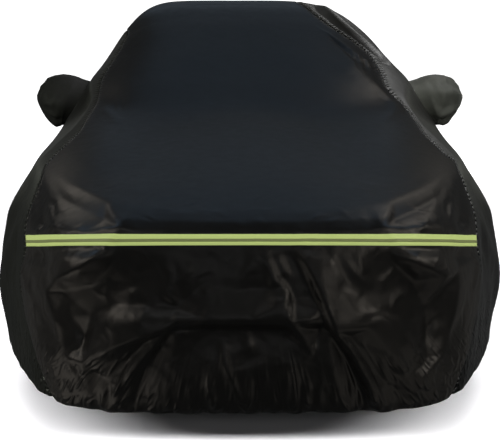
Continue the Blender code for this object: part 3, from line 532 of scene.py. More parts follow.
class Fold:
    """A fold along a run of points in the flat of its view, wider on one side than on the other."""

    def __init__(self, run, widths, out, profile=soft_bell, taper=0.0):
        self.run, self.widths, self.out, self.profile, self.taper = run, widths, out, profile, taper
        reach = FOLD_REACH * max(widths)
        self.low = [min(p[k] for p in run) - reach for k in (0, 1)]
        self.high = [max(p[k] for p in run) + reach for k in (0, 1)]
        self.lengths = [math.dist(a, b) for a, b in zip(run, run[1:])]

    def height(self, x, y):
        if not (self.low[0] < x < self.high[0] and self.low[1] < y < self.high[1]):
            return 0.0
        nearest, before = math.inf, 0.0
        for start, end, length in zip(self.run, self.run[1:], self.lengths):
            away, share = line_place((x, y), start, end)
            if away < nearest:
                nearest = away
                turn = (end[0] - start[0]) * (y - start[1]) - (end[1] - start[1]) * (x - start[0])
                half = self.widths[0] if turn > 0.0 else self.widths[1]
                along = (before + share * length) / sum(self.lengths)
            before += length
        out = self.out * self.profile(nearest / half)
        if self.taper:
            out *= smoothstep(along / self.taper) * smoothstep((1.0 - along) / self.taper)
        return out


class FacetNet:
    """A net of creases with flat facets between them: reads how far the cloth stands out at a place."""

    def __init__(self, creases, low, high):
        corners = [(*low, 0.0), (high[0], low[1], 0.0), (*high, 0.0), (low[0], high[1], 0.0)]
        places, edges = [], []
        for run in [(*corners, corners[0])] + [run for _, run in creases]:
            numbers = []
            for point in run:
                if point not in places:
                    places.append(point)
                numbers.append(places.index(point))
            edges += list(zip(numbers, numbers[1:]))
        flat = [Vector(place[:2]) for place in places]
        made, _, faces, sources, _, _ = delaunay_2d_cdt(flat, edges, [], 0, 1e-6)
        outs = [places[source[0]][2] if source else None for source in sources]
        for number, out in enumerate(outs):
            if out is None:
                near = min(range(len(places)), key=lambda k: (flat[k] - made[number]).length)
                outs[number] = places[near][2]
        self.surface = BVHTree.FromPolygons([(*place, out) for place, out in zip(made, outs)], faces)

    def read(self, x, y):
        place = self.surface.ray_cast(Vector((x, y, 1.0)), Vector((0.0, 0.0, -1.0)))[0]
        return place.z if place else 0.0

    def height(self, x, y):
        r = CREASE_ROUND
        return sum(self.read(x + dx, y + dy) for dx, dy in ((0, 0), (r, 0), (-r, 0), (0, r), (0, -r))) / 5.0


NOSE = [Fold(*row[1:]) for row in NOSE_FOLDS]
CREASES = [Fold(*row[1:], sharp_peak, NOSE_CREASE_FADE) for row in NOSE_CREASES]
FACETS = FacetNet(FACET_CREASES, FACET_LOW, FACET_HIGH)
TOP = [Fold(*row[1:]) for row in TOP_FOLDS]
TOP += [Fold(*row[1:], sharp_peak, TOP_CREASE_FADE) for row in TOP_CREASES]
SIDES = {-1: [], 1: []}
for _, side, start, end, half, out in SIDE_FOLDS:
    SIDES[side].append(Fold(*metres(((start, end), (half, half), out))))


def nose_folds(point):
    """The folds of the nose at a point, in metres out from the cloth."""
    across, back, height = point
    on_nose = smoothstep((NOSE_FOLDS_BACK - back) / NOSE_FADE_BACK)
    on_nose *= smoothstep((NOSE_FOLDS_TOP - height) / NOSE_FADE_TOP)
    if on_nose <= 0.0:
        return 0.0
    folds = SOLID_FOLDS * sum(fold.height(across, height) for fold in NOSE)
    creases = sum(crease.height(across, height) for crease in CREASES)
    return on_nose * (folds + FACETS.height(across, height) + creases)


def top_folds(point):
    """The folds of the bonnet, screen, roof and tail at a point, in metres out from the cloth."""
    across, back, height = point
    on_top = smoothstep((height - TOP_FOLDS_FROM) / TOP_FADE)
    if on_top <= 0.0:
        return 0.0
    return on_top * sum(fold.height(across, back) for fold in TOP)


def side_folds(point, side):
    return side * sum(fold.height(point[1], point[2]) for fold in SIDES[side])


def roof_tuck(place, reach):
    """The tuck at a place along the table of rows and a distance beyond the seam."""
    start, full, end, gone = TUCK_ROWS
    held = smoothstep((place - start) / (full - start)) * smoothstep((gone - place) / (gone - end))
    return held * smooth_curve(TUCK_AWAY, TUCK_OUT, reach) if held else 0.0


def crumple(point, size, seed):
    """Soft creases of slack cloth: a noise with sharp ridges, between -1 and 1."""
    place = Vector(point) / size + Vector((seed, 0.0, 0.0))
    return 1.0 - 2.0 * abs(noise.noise(place)) - CRUMPLE_MEAN


def crumples(point, layers):
    """Creases of several sizes, from rows of share, size and seed."""
    return sum(share * crumple(point, size, seed) for share, size, seed in layers)


def slackness(point):
    """How loosely the cloth hangs, from 0 where it is drawn tight to 1 low on the nose and the sides."""
    return smoothstep((SLACK_TOP - point[2]) / SLACK_OVER)


def unevenness(point):
    slack = TIGHT_SHARE + (1.0 - TIGHT_SHARE) * slackness(point)
    return slack * CRUMPLE_OUT * crumples(point, CRUMPLES)


def gathers(along, height):
    """The gathers above the elastic hem."""
    rise = smoothstep((GATHER_TOP - height) / (GATHER_TOP - HEM_HEIGHT))
    if rise <= 0.0:
        return 0.0
    wave = noise.noise(Vector((along / GATHER_PITCH, height * 2.0, 5.0)))
    return GATHER_OUT * rise ** GATHER_POWER * wave * GATHER_WAVE


def seam_groove(reach):
    return -SEAM_DEEP * math.exp(-((reach / SEAM_WIDE) ** 2))


# ---------------------------------------------------------------- sheets of cloth

def grid_normals(grid):
    """The direction out of the cloth at each point of a grid."""
    rows, columns = len(grid), len(grid[0])
    normals = []
    for i in range(rows):
        before, after = grid[max(i - 1, 0)], grid[min(i + 1, rows - 1)]
        line = []
        for j in range(columns):
            along = after[j] - before[j]
            across = grid[i][min(j + 1, columns - 1)] - grid[i][max(j - 1, 0)]
            normal = across.cross(along)
            line.append(normal.normalized() if normal.length > 1e-9 else None)
        normals.append(line)
    for i, line in enumerate(normals):
        for j, normal in enumerate(line):
            if normal is None:
                line[j] = normals[i - 1][j] if i and normals[i - 1][j] else Vector((0.0, 0.0, 1.0))
    return normals


def distances(points):
    """How far along a line each of its points lies."""
    total, lengths = 0.0, [0.0]
    for a, b in zip(points, points[1:]):
        total += (b - a).length
        lengths.append(total)
    return lengths


def centre_grid(places):
    """Points of the centre panel, row by row, from the left seam to the right one, with all its folds."""
    grid = []
    for place in places:
        row = Row(place)
        line = []
        for column in range(PANEL_COLUMNS + 1):
            share = 2.0 * column / PANEL_COLUMNS - 1.0
            share *= 1.0 + PANEL_COLUMNS_CLOSER - PANEL_COLUMNS_CLOSER * share * share
            side = -1 if share < 0.0 else 1
            line.append(row.on_top(side, abs(share) * row.seam[side]))
        grid.append(line)
    normals = grid_normals(grid)
    low, top = row_number("tape low"), row_number("tape top")
    raised = []
    for i, line in enumerate(grid):
        beside_tape = max(low - places[i], places[i] - top, 0.0)
        held = TAPE_HOLDS + (1.0 - TAPE_HOLDS) * smoothstep(beside_tape / TAPE_HOLD_ROWS)
        out_line = []
        for j, point in enumerate(line):
            reach = min((point - line[0]).length, (point - line[-1]).length)
            out = held * (nose_folds(point) + unevenness(point)) * smoothstep(reach / SEAM_FADE)
            out += top_folds(point) * smoothstep(reach / TOP_SEAM_FADE)
            out += gathers(point.x + GATHER_SHIFT["centre"], point.z) * smoothstep(reach / SEAM_FADE)
            out += seam_groove(reach)
            out_line.append(point + normals[i][j] * out)
        raised.append(out_line)
    return raised


def side_grid(places, side):
    """Points of a side panel, row by row, from the seam down to the hem, with its folds."""
    grid = []
    for place in places:
        row = Row(place)
        shares = [(column / SIDE_COLUMNS) ** SIDE_COLUMNS_CLOSER for column in range(SIDE_COLUMNS + 1)]
        grid.append([row.on_side(side, share) for share in shares])
    normals = grid_normals(grid)
    raised = []
    for i, line in enumerate(grid):
        out_line = []
        for j, point in enumerate(line):
            reach = (point - line[0]).length
            held = smoothstep(reach / SEAM_FADE)
            out = (side_folds(point, side) + side * unevenness(point)) * held
            out += side * SIDE_GATHERS * gathers(point.y + GATHER_SHIFT["side"], point.z) * held
            if side > 0:
                out += roof_tuck(places[i], reach)
            out += side * seam_groove(reach)
            out_line.append(point + normals[i][j] * out)
        raised.append(out_line)
    return raised


def grid_faces(grid):
    """The faces between the points of a grid."""
    columns = len(grid[0])
    firsts = [i * columns + j for i in range(len(grid) - 1) for j in range(columns - 1)]
    return [(first, first + 1, first + columns + 1, first + columns) for first in firsts]


def new_piece(name, points, faces):
    data = bpy.data.meshes.new(name)
    data.from_pydata(points, [], faces)
    piece = bpy.data.objects.new(name, data)
    bpy.context.scene.collection.objects.link(piece)
    return piece


def only(piece):
    """Makes a piece the only selected and the active one."""
    bpy.ops.object.select_all(action="DESELECT")
    piece.select_set(True)
    bpy.context.view_layer.objects.active = piece


def point_outwards(piece):
    """Turns the faces of a closed piece outwards."""
    only(piece)
    bpy.ops.object.mode_set(mode="EDIT")
    bpy.ops.mesh.select_all(action="SELECT")
    bpy.ops.mesh.normals_make_consistent(inside=False)
    bpy.ops.object.mode_set(mode="OBJECT")


def apply_modifiers(piece):
    only(piece)
    for modifier in list(piece.modifiers):
        bpy.ops.object.modifier_apply(modifier=modifier.name)


def thicken(piece, thickness, outwards):
    """Gives a sheet its thickness, on the side that its faces point to or on the other one."""
    piece.data.shade_smooth()
    layer = piece.modifiers.new("thickness", "SOLIDIFY")
    layer.thickness = thickness
    layer.offset = 1.0 if outwards else -1.0
    apply_modifiers(piece)


def sheet_piece(name, grid, outwards, thickness, seams=()):
    """A sheet of cloth from rows of points, thickened outwards. It has a map of its cloth in metres, and
    one of the distance from the nearest of its seams (column numbers) and of the place along it."""
    columns = len(grid[0])
    points = [at_origin(*point) for line in grid for point in line]
    piece = new_piece(name, points, [face if outwards else face[::-1] for face in grid_faces(grid)])
    data = piece.data
    middle = columns // 2
    down = distances([line[middle] for line in grid])
    cloth_map = data.uv_layers.new(name="cloth")
    across = [distances(line) for line in grid]
    for loop in data.loops:
        i, j = divmod(loop.vertex_index, columns)
        cloth_map.data[loop.index].uv = (across[i][j] - across[i][middle], down[i])
    if seams:
        along = {seam: distances([line[seam] for line in grid]) for seam in seams}
        seam_map = data.uv_layers.new(name="seam")
        for loop in data.loops:
            i, j = divmod(loop.vertex_index, columns)
            seam = min(seams, key=lambda column: abs(column % columns - j))
            seam_map.data[loop.index].uv = (abs(across[i][j] - across[i][seam]), along[seam][i])
    thicken(piece, thickness, True)
    return piece


def squared(value, power):
    """A cosine or sine bent for a squarer or rounder oval."""
    return math.copysign(abs(value) ** power, value)


def root_oval():
    """The oval opening for a mirror pocket, as (back, height) points seen from the side."""
    half_height = (ROOT_TOP - ROOT_BOTTOM) / 2.0
    points = []
    for k in range(POCKET_SIDES):
        turn = math.tau * k / POCKET_SIDES
        front, up = (squared(bend(turn), 2.0 / ROOT_SQUARE) for bend in (math.sin, math.cos))
        points.append((POCKET_BACK - ROOT_HALF_DEPTH * front, ROOT_MIDDLE + half_height * up))
    return points


def cut_opening(panel, side):
    """Cuts the oval opening of the mirror pocket through a side panel."""
    points = [at_origin(side * across, *place) for across in CUTTER_SPAN for place in root_oval()]
    count = POCKET_SIDES
    faces = [(k, (k + 1) % count, count + (k + 1) % count, count + k) for k in range(count)]
    faces += [tuple(range(count))[::-1], tuple(range(count, 2 * count))]
    cutter = new_piece("opening", points, faces)
    point_outwards(cutter)
    hole = panel.modifiers.new("opening", "BOOLEAN")
    hole.operation = "DIFFERENCE"
    hole.solver = "EXACT"
    hole.object = cutter
    apply_modifiers(panel)
    bpy.data.objects.remove(cutter)


# ---------------------------------------------------------------- mirror pockets

NECK_STEPS = 4                  # mesh rings between the panel and the first ring of the table
NECK_OUT = 0.45                 # how far the neck swells, as a share of its straight run
TIP_SHARES = (0.45, 0.8)        # the last rings, on the way from the table's last ring to the tip
POCKET_HEART = (0.80, POCKET_BACK, 1.01)    # its crumples stand out from here
POCKET_CRUMPLE_OUT = 0.0034
POCKET_CRUMPLES = {
    -1: ((1.0, 0.050, -4.0), (0.6, 0.024, 9.0)),
    1: ((1.0, 0.050, 4.0), (0.6, 0.024, 9.0)),
}
POCKET_CRUMPLE_RINGS = (3, 6.0)     # the ring after which they start, and over how many they grow
POCKET_LEAST_DEPTH = 0.05       # a fold near the tip swells no more than at this half depth
POCKET_GIRTH = 0.55             # of the cloth round a pocket
POCKET_RING_PITCH = 0.010       # and from ring to ring

# Folds of a pocket, on the left (-1) and the right
POCKET_FOLDS = {
    # place round it (0 is the top, 0.25 the front), width, out, first ring, last ring
    -1: (
        (0.07, 0.030, 0.0050, 0.0, 4.0),
        (0.16, 0.035, -0.0060, 0.5, 4.5),
        (0.27, 0.030, 0.0060, 0.0, 3.5),
        (0.345, 0.022, 0.0080, 0.5, 4.0),
        (0.395, 0.028, -0.0180, 0.0, 4.2),
        (0.445, 0.018, 0.0060, 0.5, 3.0),
        (0.490, 0.030, 0.0080, 0.5, 4.0),
        (0.80, 0.060, 0.0050, 0.0, 4.0),
    ),
    1: (
        (0.06, 0.030, 0.0045, 0.0, 4.0),
        (0.13, 0.030, -0.0060, 0.0, 3.5),
        (0.20, 0.030, 0.0070, 0.5, 4.5),
        (0.28, 0.025, -0.0050, 0.5, 4.0),
        (0.340, 0.022, 0.0080, 0.0, 4.0),
        (0.390, 0.026, -0.0190, 0.0, 4.0),
        (0.435, 0.016, 0.0080, 0.5, 3.0),
        (0.480, 0.024, -0.0060, 0.5, 4.0),
        (0.80, 0.060, 0.0050, 0.0, 4.0),
    ),
}


def pocket_ring(place, side):
    """One ring of a pocket, at a place along its table of rings, with its folds."""
    numbers = range(len(POCKET_RINGS))
    top, bottom = (
        [smooth_curve(numbers, [ring[end][k] for ring in POCKET_RINGS], place) for k in (0, 1)]
        for end in (0, 1)
    )
    depth = smooth_curve(numbers, [ring[2] for ring in POCKET_RINGS], place)
    middle = ((top[0] + bottom[0]) / 2.0, (top[1] + bottom[1]) / 2.0)
    half = ((top[0] - bottom[0]) / 2.0, (top[1] - bottom[1]) / 2.0)
    ring = []
    for k in range(POCKET_SIDES):
        turn = math.tau * k / POCKET_SIDES
        out = 0.0
        for at, width, rise, start, stop in POCKET_FOLDS[side]:
            away = (k / POCKET_SIDES - at + 0.5) % 1.0 - 0.5
            held = smoothstep(place - start + 0.5) * smoothstep(stop - place)
            out += rise * held * math.exp(-((away / width) ** 2))
        swell = 1.0 + out / max(depth, POCKET_LEAST_DEPTH)
        up = squared(math.cos(turn), POCKET_ROUND) * swell
        front = squared(math.sin(turn), POCKET_ROUND) * swell
        ring.append(Vector((middle[0] + half[0] * up, POCKET_BACK - depth * front, middle[1] + half[1] * up)))
    return ring


def pocket_root(side, grid):
    """The line around a pocket's root, on the side panel and just inside its oval opening."""
    surface = BVHTree.FromPolygons([at_origin(*point) for line in grid for point in line], grid_faces(grid))
    root = []
    for back, height in root_oval():
        back = POCKET_BACK + (back - POCKET_BACK) * (1.0 - LAY_GAP / ROOT_HALF_DEPTH)
        height = ROOT_MIDDLE + (height - ROOT_MIDDLE) * (1.0 - 2.0 * LAY_GAP / (ROOT_TOP - ROOT_BOTTOM))
        start = at_origin(side * CUTTER_SPAN[1], back, height)
        place = surface.ray_cast(start, Vector((-side, 0.0, 0.0)))[0]
        root.append(Vector((abs(place.x), back, height)))
    return root


def pocket_rings(side, root, tip):
    """The rings of a pocket, from its root through the panel's opening to the last one before its tip."""
    rings = [
        [point - Vector((ROOT_INSIDE, 0.0, 0.0)) for point in root],
        [point + Vector((CLOTH, 0.0, 0.0)) for point in root],
    ]
    neck = [point + Vector((CLOTH + ROOT_OUTSIDE, 0.0, 0.0)) for point in root]
    first = pocket_ring(0.0, side)
    for step in range(1, NECK_STEPS + 1):
        share = step / NECK_STEPS
        swell = NECK_OUT * math.sin(math.pi * share)
        rings.append([a.lerp(b, share) + (n - a) * swell for a, b, n in zip(rings[1], first, neck)])
    for step in range(1, (len(POCKET_RINGS) - 1) * POCKET_STEPS + 1):
        rings.append(pocket_ring(step / POCKET_STEPS, side))
    before_tip = rings[-1]
    for share in TIP_SHARES:
        across = 1.0 - (1.0 - share) ** 2
        shares = Vector((across, share, share))
        rings.append([point + (tip - point) * shares for point in before_tip])
    return rings


def crumpled(rings, side):
    """The points of a pocket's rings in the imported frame, with the crumples of its slack cloth."""
    heart = Vector(POCKET_HEART)
    smooth_rings, growing = POCKET_CRUMPLE_RINGS
    points = []
    for index, ring in enumerate(rings):
        slack = smoothstep((index - smooth_rings) / growing)
        for point in ring:
            out = slack * POCKET_CRUMPLE_OUT * crumples(point, POCKET_CRUMPLES[side])
            point = point + (point - heart).normalized() * out
            points.append(at_origin(side * point.x, point.y, point.z))
    return points


def build_pocket(side, name, grid):
    """A hollow pocket: its root stands in the panel's opening, and its rings close towards the tip."""
    tip = Vector((POCKET_TIP[0], POCKET_BACK, POCKET_TIP[1]))
    points = crumpled(pocket_rings(side, pocket_root(side, grid), tip), side)
    count = POCKET_SIDES
    last = len(points) - count
    points.append(at_origin(side * tip.x, tip.y, tip.z))
    faces = []
    for ring in range(0, last, count):
        for k in range(count):
            n = (k + 1) % count
            faces.append((ring + k, ring + n, ring + count + n, ring + count + k))
    faces += [(last + k, last + (k + 1) % count, last + count) for k in range(count)]
    piece = new_piece(name, points, faces)
    cloth_map = piece.data.uv_layers.new(name="cloth")
    for loop in piece.data.loops:
        ring, k = divmod(loop.vertex_index, count)
        cloth_map.data[loop.index].uv = (POCKET_GIRTH * k / count, POCKET_RING_PITCH * ring)
    point_outwards(piece)
    thicken(piece, CLOTH, False)
    return piece


# ---------------------------------------------------------------- topstitching

def one_stitch():
    """A short round stitch along X, its points and faces."""
    bpy.ops.mesh.primitive_uv_sphere_add(segments=6, ring_count=4, radius=0.5)
    shape = bpy.context.object
    places = [point.co for point in shape.data.vertices]
    points = [Vector((at.z * STITCH_LONG, at.x * STITCH_THICK, at.y * STITCH_THICK)) for at in places]
    faces = [tuple(face.vertices) for face in shape.data.polygons]
    bpy.data.objects.remove(shape)
    return points, faces


def stitch_line(grid, normals, seam):
    """Points of the line of stitches, a little in from a seam, and the direction out of the cloth at each."""
    step = 1 if seam == 0 else -1
    line, outs = [], []
    for row, directions in zip(grid, normals):
        inner, outer, gone = seam + step, seam, 0.0
        while gone + (row[inner] - row[outer]).length < STITCH_IN:
            gone += (row[inner] - row[outer]).length
            inner, outer = inner + step, inner
        share = (STITCH_IN - gone) / (row[inner] - row[outer]).length
        line.append(row[outer].lerp(row[inner], share))
        outs.append(directions[inner])
    return line, outs


def topstitch(name, grid, normals, seam):
    """A line of stitches on the centre panel beside a seam: one stitch, copied along the line."""
    line, outs = stitch_line(grid, normals, seam)
    lengths = distances(line)
    shape, shape_faces = one_stitch()
    points, faces = [], []
    number = 0
    for count in range(int(lengths[-1] / STITCH_PITCH)):
        place = (count + 0.5) * STITCH_PITCH
        while lengths[number + 1] < place:
            number += 1
        share = (place - lengths[number]) / (lengths[number + 1] - lengths[number])
        along = (line[number + 1] - line[number]).normalized()
        out = outs[number].lerp(outs[number + 1], share).normalized()
        beside = out.cross(along).normalized()
        way = 1.0 if count % 2 else -1.0
        rise = CLOTH + STITCH_RISE * STITCH_THICK
        centre = line[number].lerp(line[number + 1], share) + out * rise + beside * (STITCH_SWAY * way)
        centre = at_origin(*centre)
        turned = (along + beside * (STITCH_TURN * way)).normalized()
        across = out.cross(turned)
        first = len(points)
        points += [centre + turned * p.x + across * p.y + out * p.z for p in shape]
        faces += [tuple(first + k for k in face) for face in shape_faces]
    piece = new_piece(name, points, faces)
    piece.data.shade_smooth()
    point_outwards(piece)
    return piece


# ---------------------------------------------------------------- tape

def band_grid(grid, places, normals, first, last, steps, lift):
    """Rows of points on the centre panel between two places along the ROWS table, lifted off it. The band
    bows down a little towards its ends."""
    columns = len(grid[0])
    lines = []
    for step in range(steps + 1):
        line = []
        for j in range(columns):
            place = first + (last - first) * step / steps - TAPE_BOW * (2.0 * j / (columns - 1) - 1.0) ** 2
            after = next(i for i, p in enumerate(places) if p >= place)
            before = after - 1
            share = (place - places[before]) / (places[after] - places[before])
            lift_along = normals[before][j].lerp(normals[after][j], share).normalized()
            line.append(grid[before][j].lerp(grid[after][j], share) + lift_along * lift)
        lines.append(line)
    return lines


# ---------------------------------------------------------------- finishes

def new_material(name):
    material = bpy.data.materials.new(name)
    material.use_nodes = True
    return material, material.node_tree, material.node_tree.nodes["Principled BSDF"]


def set_values(node, **values):
    """Sets a node's own settings and its inputs, whose names are written with underscores."""
    for key, value in values.items():
        if hasattr(node, key):
            setattr(node, key, value)
        else:
            node.inputs[key.replace("_", " ")].default_value = value


def add_node(tree, kind, **values):
    node = tree.nodes.new(kind)
    set_values(node, **values)
    return node


def value_of(tree, operation, first, second=0.0, third=0.0):
    """The output of a sum on two or three numbers or outputs."""
    node = tree.nodes.new("ShaderNodeMath")
    node.operation = operation
    for number, value in enumerate((first, second, third)):
        if isinstance(value, bpy.types.NodeSocket):
            tree.links.new(value, node.inputs[number])
        else:
            node.inputs[number].default_value = value
    return node.outputs["Value"]


def spread(tree, value, start, stop, low, high, **values):
    """Brings a value from the span between start and stop to the one between low and high."""
    node = add_node(tree, "ShaderNodeMapRange", From_Min=start, From_Max=stop, To_Min=low, To_Max=high)
    set_values(node, **values)
    tree.links.new(value, node.inputs["Value"])
    return node.outputs["Result"]


def faded(tree, value, start, stop):
    """1 at start and 0 at stop, smooth between them."""
    return spread(tree, value, start, stop, 1.0, 0.0, interpolation_type="SMOOTHSTEP")


def noise_at(tree, vector, scale, detail=4.0, roughness=0.55, distortion=0.0, kind="FBM"):
    node = add_node(tree, "ShaderNodeTexNoise", noise_type=kind, Scale=scale, Detail=detail)
    set_values(node, Roughness=roughness, Distortion=distortion)
    tree.links.new(vector, node.inputs["Vector"])
    return node.outputs["Fac"]


def waves_at(tree, vector, scale, distortion, direction):
    node = add_node(tree, "ShaderNodeTexWave", bands_direction=direction, Scale=scale, Distortion=distortion)
    tree.links.new(vector, node.inputs["Vector"])
    return node.outputs["Fac"]


def colour_between(tree, value, colours, places=(0.0, 1.0)):
    """The first colour where the value is at the first place, the second one at the second."""
    node = add_node(tree, "ShaderNodeValToRGB")
    for element, place, colour in zip(node.color_ramp.elements, places, colours):
        element.position = place
        element.color = (*colour, 1.0)
    tree.links.new(value, node.inputs["Fac"])
    return node.outputs["Color"]


def add_relief(tree, shader, height, strength, distance):
    node = add_node(tree, "ShaderNodeBump", Strength=strength, Distance=distance)
    tree.links.new(height, node.inputs["Height"])
    tree.links.new(node.outputs["Normal"], shader.inputs["Normal"])


# Sizes in the finish of the coated cloth, in metres. A scale is that of a noise or of waves.
SEAM_DARK = (0.0015, 0.0060)    # distances from a seam: dark and dull within one, plain beyond the other
SEAM_DARK_COLOUR = (0.08, 0.08, 0.08)
SEAM_DARK_SHARE = 0.85          # of that colour in the seam
SEAM_DULL = 0.35                # the seam is rougher by this much
SLACK_HEIGHTS = (0.72, 0.88)    # the crinkles are deepest below one and shallowest above the other
CREASE_HEIGHTS = (0.24, 0.46)   # so are the creases above the hem
TONE_SCALE = 5.0                # of the lighter and darker coating
TONE_SPAN = (0.35, 0.70)        # part of the noise over which it turns from one to the other
DULL_SCALE = 28.0               # of the duller and shinier coating
DULL_SPAN = (0.3, 0.7)
DULL_SPREAD = (-0.04, 0.06)     # how far their roughness lies below and above the middle one
PUCKER_STARTS = (0.001, 0.005)  # distance from a seam over which the puckers grow
PUCKER_WANDER = 9.0             # how much they wander along it, in radians
PUCKER_WANDER_SCALE = 30.0
PUCKER_UNEVEN_SCALE = 14.0      # of stronger and weaker puckers
PUCKER_FULL = 0.004             # they get weaker from this distance on
CRINKLE_SCALE = 16.0
HEM_CREASE_SCALE = 36.0         # across the fan of creases
HEM_CREASE_BACK = 1.2           # times that scale from front to back
HEM_CREASE_DOWN = 0.12          # and down the creases, which makes them long
WEAVE_SCALE = 160.0


def coated_cloth(name, dark, light, roughness, slack_crinkle):
    """Black coated polyester: a fine weave under the coating, small crinkles that grow where it hangs slack,
    puckers along the seams, and a soft sheen."""
    material, tree, shader = new_material(name)
    link = tree.links.new
    place = add_node(tree, "ShaderNodeTexCoord").outputs["Object"]
    cloth_map = add_node(tree, "ShaderNodeUVMap", uv_map="cloth").outputs["UV"]
    seam_map = add_node(tree, "ShaderNodeSeparateXYZ")
    link(add_node(tree, "ShaderNodeUVMap", uv_map="seam").outputs["UV"], seam_map.inputs["Vector"])
    reach, along = seam_map.outputs["X"], seam_map.outputs["Y"]
    parted = add_node(tree, "ShaderNodeSeparateXYZ")
    link(place, parted.inputs["Vector"])
    height = parted.outputs["Z"]
    slack, near_hem = (
        faded(tree, height, full - ROOF_HEIGHT, gone - ROOF_HEIGHT)
        for full, gone in (SLACK_HEIGHTS, CREASE_HEIGHTS)
    )

    def product(first, second):
        return value_of(tree, "MULTIPLY", first, second)

    def total(first, second):
        return value_of(tree, "ADD", first, second)

    by_seam = faded(tree, reach, *SEAM_DARK)
    tone = colour_between(tree, noise_at(tree, place, TONE_SCALE, roughness=0.6), (dark, light), TONE_SPAN)
    in_seam = add_node(tree, "ShaderNodeMix", data_type="RGBA", blend_type="MULTIPLY")
    link(product(by_seam, SEAM_DARK_SHARE), in_seam.inputs["Factor"])
    link(tone, in_seam.inputs["A"])
    in_seam.inputs["B"].default_value = (*SEAM_DARK_COLOUR, 1.0)
    link(in_seam.outputs["Result"], shader.inputs["Base Color"])

    low, high = (roughness + part for part in DULL_SPREAD)
    dull = spread(tree, noise_at(tree, place, DULL_SCALE, 5.0, 0.65), *DULL_SPAN, low, high)
    link(total(dull, product(by_seam, SEAM_DULL)), shader.inputs["Roughness"])

    # puckers along the seams, in metres
    wander = product(noise_at(tree, place, PUCKER_WANDER_SCALE, 2.0), PUCKER_WANDER)
    turns = value_of(tree, "MULTIPLY_ADD", along, math.tau / SEAM_PUCKER_PITCH, wander)
    waves = value_of(tree, "SINE", turns)
    begun = value_of(tree, "SUBTRACT", 1.0, faded(tree, reach, *PUCKER_STARTS))
    held = product(faded(tree, reach, PUCKER_FULL, SEAM_PUCKER_REACH), begun)
    uneven = product(noise_at(tree, place, PUCKER_UNEVEN_SCALE, 2.0), SEAM_PUCKER_OUT)
    puckers = product(product(waves, held), uneven)

    # crinkles of the coating: sharp little ridges, deeper where the cloth is slack
    ridges = noise_at(tree, place, CRINKLE_SCALE, 5.0, 0.55, 0.5, "RIDGED_MULTIFRACTAL")
    crinkles = product(ridges, value_of(tree, "MULTIPLY_ADD", slack, slack_crinkle, CRINKLE_TIGHT))

    # upright creases above the hem, which fan out from a place above them
    fan = add_node(tree, "ShaderNodeCombineXYZ")
    below = value_of(tree, "SUBTRACT", HEM_FAN_TOP - ROOF_HEIGHT, height)
    link(value_of(tree, "DIVIDE", parted.outputs["X"], below), fan.inputs["X"])
    link(product(parted.outputs["Y"], HEM_CREASE_BACK), fan.inputs["Y"])
    link(product(height, HEM_CREASE_DOWN), fan.inputs["Z"])
    upright = noise_at(tree, fan.outputs["Vector"], HEM_CREASE_SCALE, 3.0, 0.5, 0.3, "RIDGED_MULTIFRACTAL")
    hem_creases = product(product(upright, near_hem), HEM_CREASE_OUT)

    warp, weft = (waves_at(tree, cloth_map, WEAVE_SCALE, 0.3, direction) for direction in "XY")
    threads = product(product(warp, weft), THREAD_OUT)

    add_relief(tree, shader, total(total(puckers, crinkles), total(hem_creases, threads)), 1.0, 1.0)
    set_values(shader, Specular_IOR_Level=0.40, Sheen_Weight=0.04, Sheen_Roughness=0.40)
    return material


TWIST_SCALE = 300.0             # of the thread's twist
TWIST_SHADE = 0.7               # its dark parts have this share of its colour
RIB_SCALE = 110.0               # of the ribs of the woven tape
RIB_OUT = 0.0003


def thread(name, colour):
    """Sewing thread: twisted, a little shiny."""
    material, tree, shader = new_material(name)
    place = add_node(tree, "ShaderNodeTexCoord").outputs["Object"]
    twist = waves_at(tree, place, TWIST_SCALE, 1.0, "DIAGONAL")
    tone = colour_between(tree, twist, ([TWIST_SHADE * part for part in colour], colour))
    tree.links.new(tone, shader.inputs["Base Color"])
    set_values(shader, Roughness=0.5)
    return material


def woven_tape(name, colour, ground, roughness, glow):
    """A woven tape: fine ribs across it, on its own map in metres. It glows in its own colour, which is
    painted light standing in for the light that it reflects.
    """
    material, tree, shader = new_material(name)
    cloth_map = add_node(tree, "ShaderNodeUVMap", uv_map="cloth").outputs["UV"]
    ribs = waves_at(tree, cloth_map, RIB_SCALE, 0.2, "X")
    tree.links.new(colour_between(tree, ribs, (ground, colour)), shader.inputs["Base Color"])
    add_relief(tree, shader, ribs, 0.2, RIB_OUT)
    # painted light: the tape glows in its own colour, standing in for the light that it reflects
    set_values(shader, Roughness=roughness, Emission_Color=(*colour, 1.0), Emission_Strength=glow)
    return material


# ---------------------------------------------------------------- the camera and the stage

def add_camera():
    eye = at_origin(EYE_ACROSS, -EYE_AHEAD, EYE_HEIGHT)
    bpy.ops.object.camera_add(location=eye, rotation=(math.pi / 2.0 - EYE_DOWN, 0.0, 0.0))
    camera = bpy.context.object
    camera.data.sensor_width = SENSOR
    camera.data.lens = LENS
    bpy.context.scene.camera = camera


def softbox(name, place, aim, size, power, colour):
    bpy.ops.object.light_add(type="AREA", location=place)
    light = bpy.context.object
    light.name = name
    light.rotation_euler = (Vector(aim) - Vector(place)).to_track_quat("-Z", "Y").to_euler()
    light.data.shape = "RECTANGLE"
    light.data.size, light.data.size_y = size
    light.data.energy = power
    light.data.color = colour
    light.visible_camera = False
    return light


def pale_finish(name, colour, glow):
    material, tree, shader = new_material(name)
    set_values(shader, Base_Color=(*colour, 1.0), Roughness=1.0, Specular_IOR_Level=0.0,
               Emission_Color=(1.0, 1.0, 1.0, 1.0), Emission_Strength=glow)
    return material, tree, shader


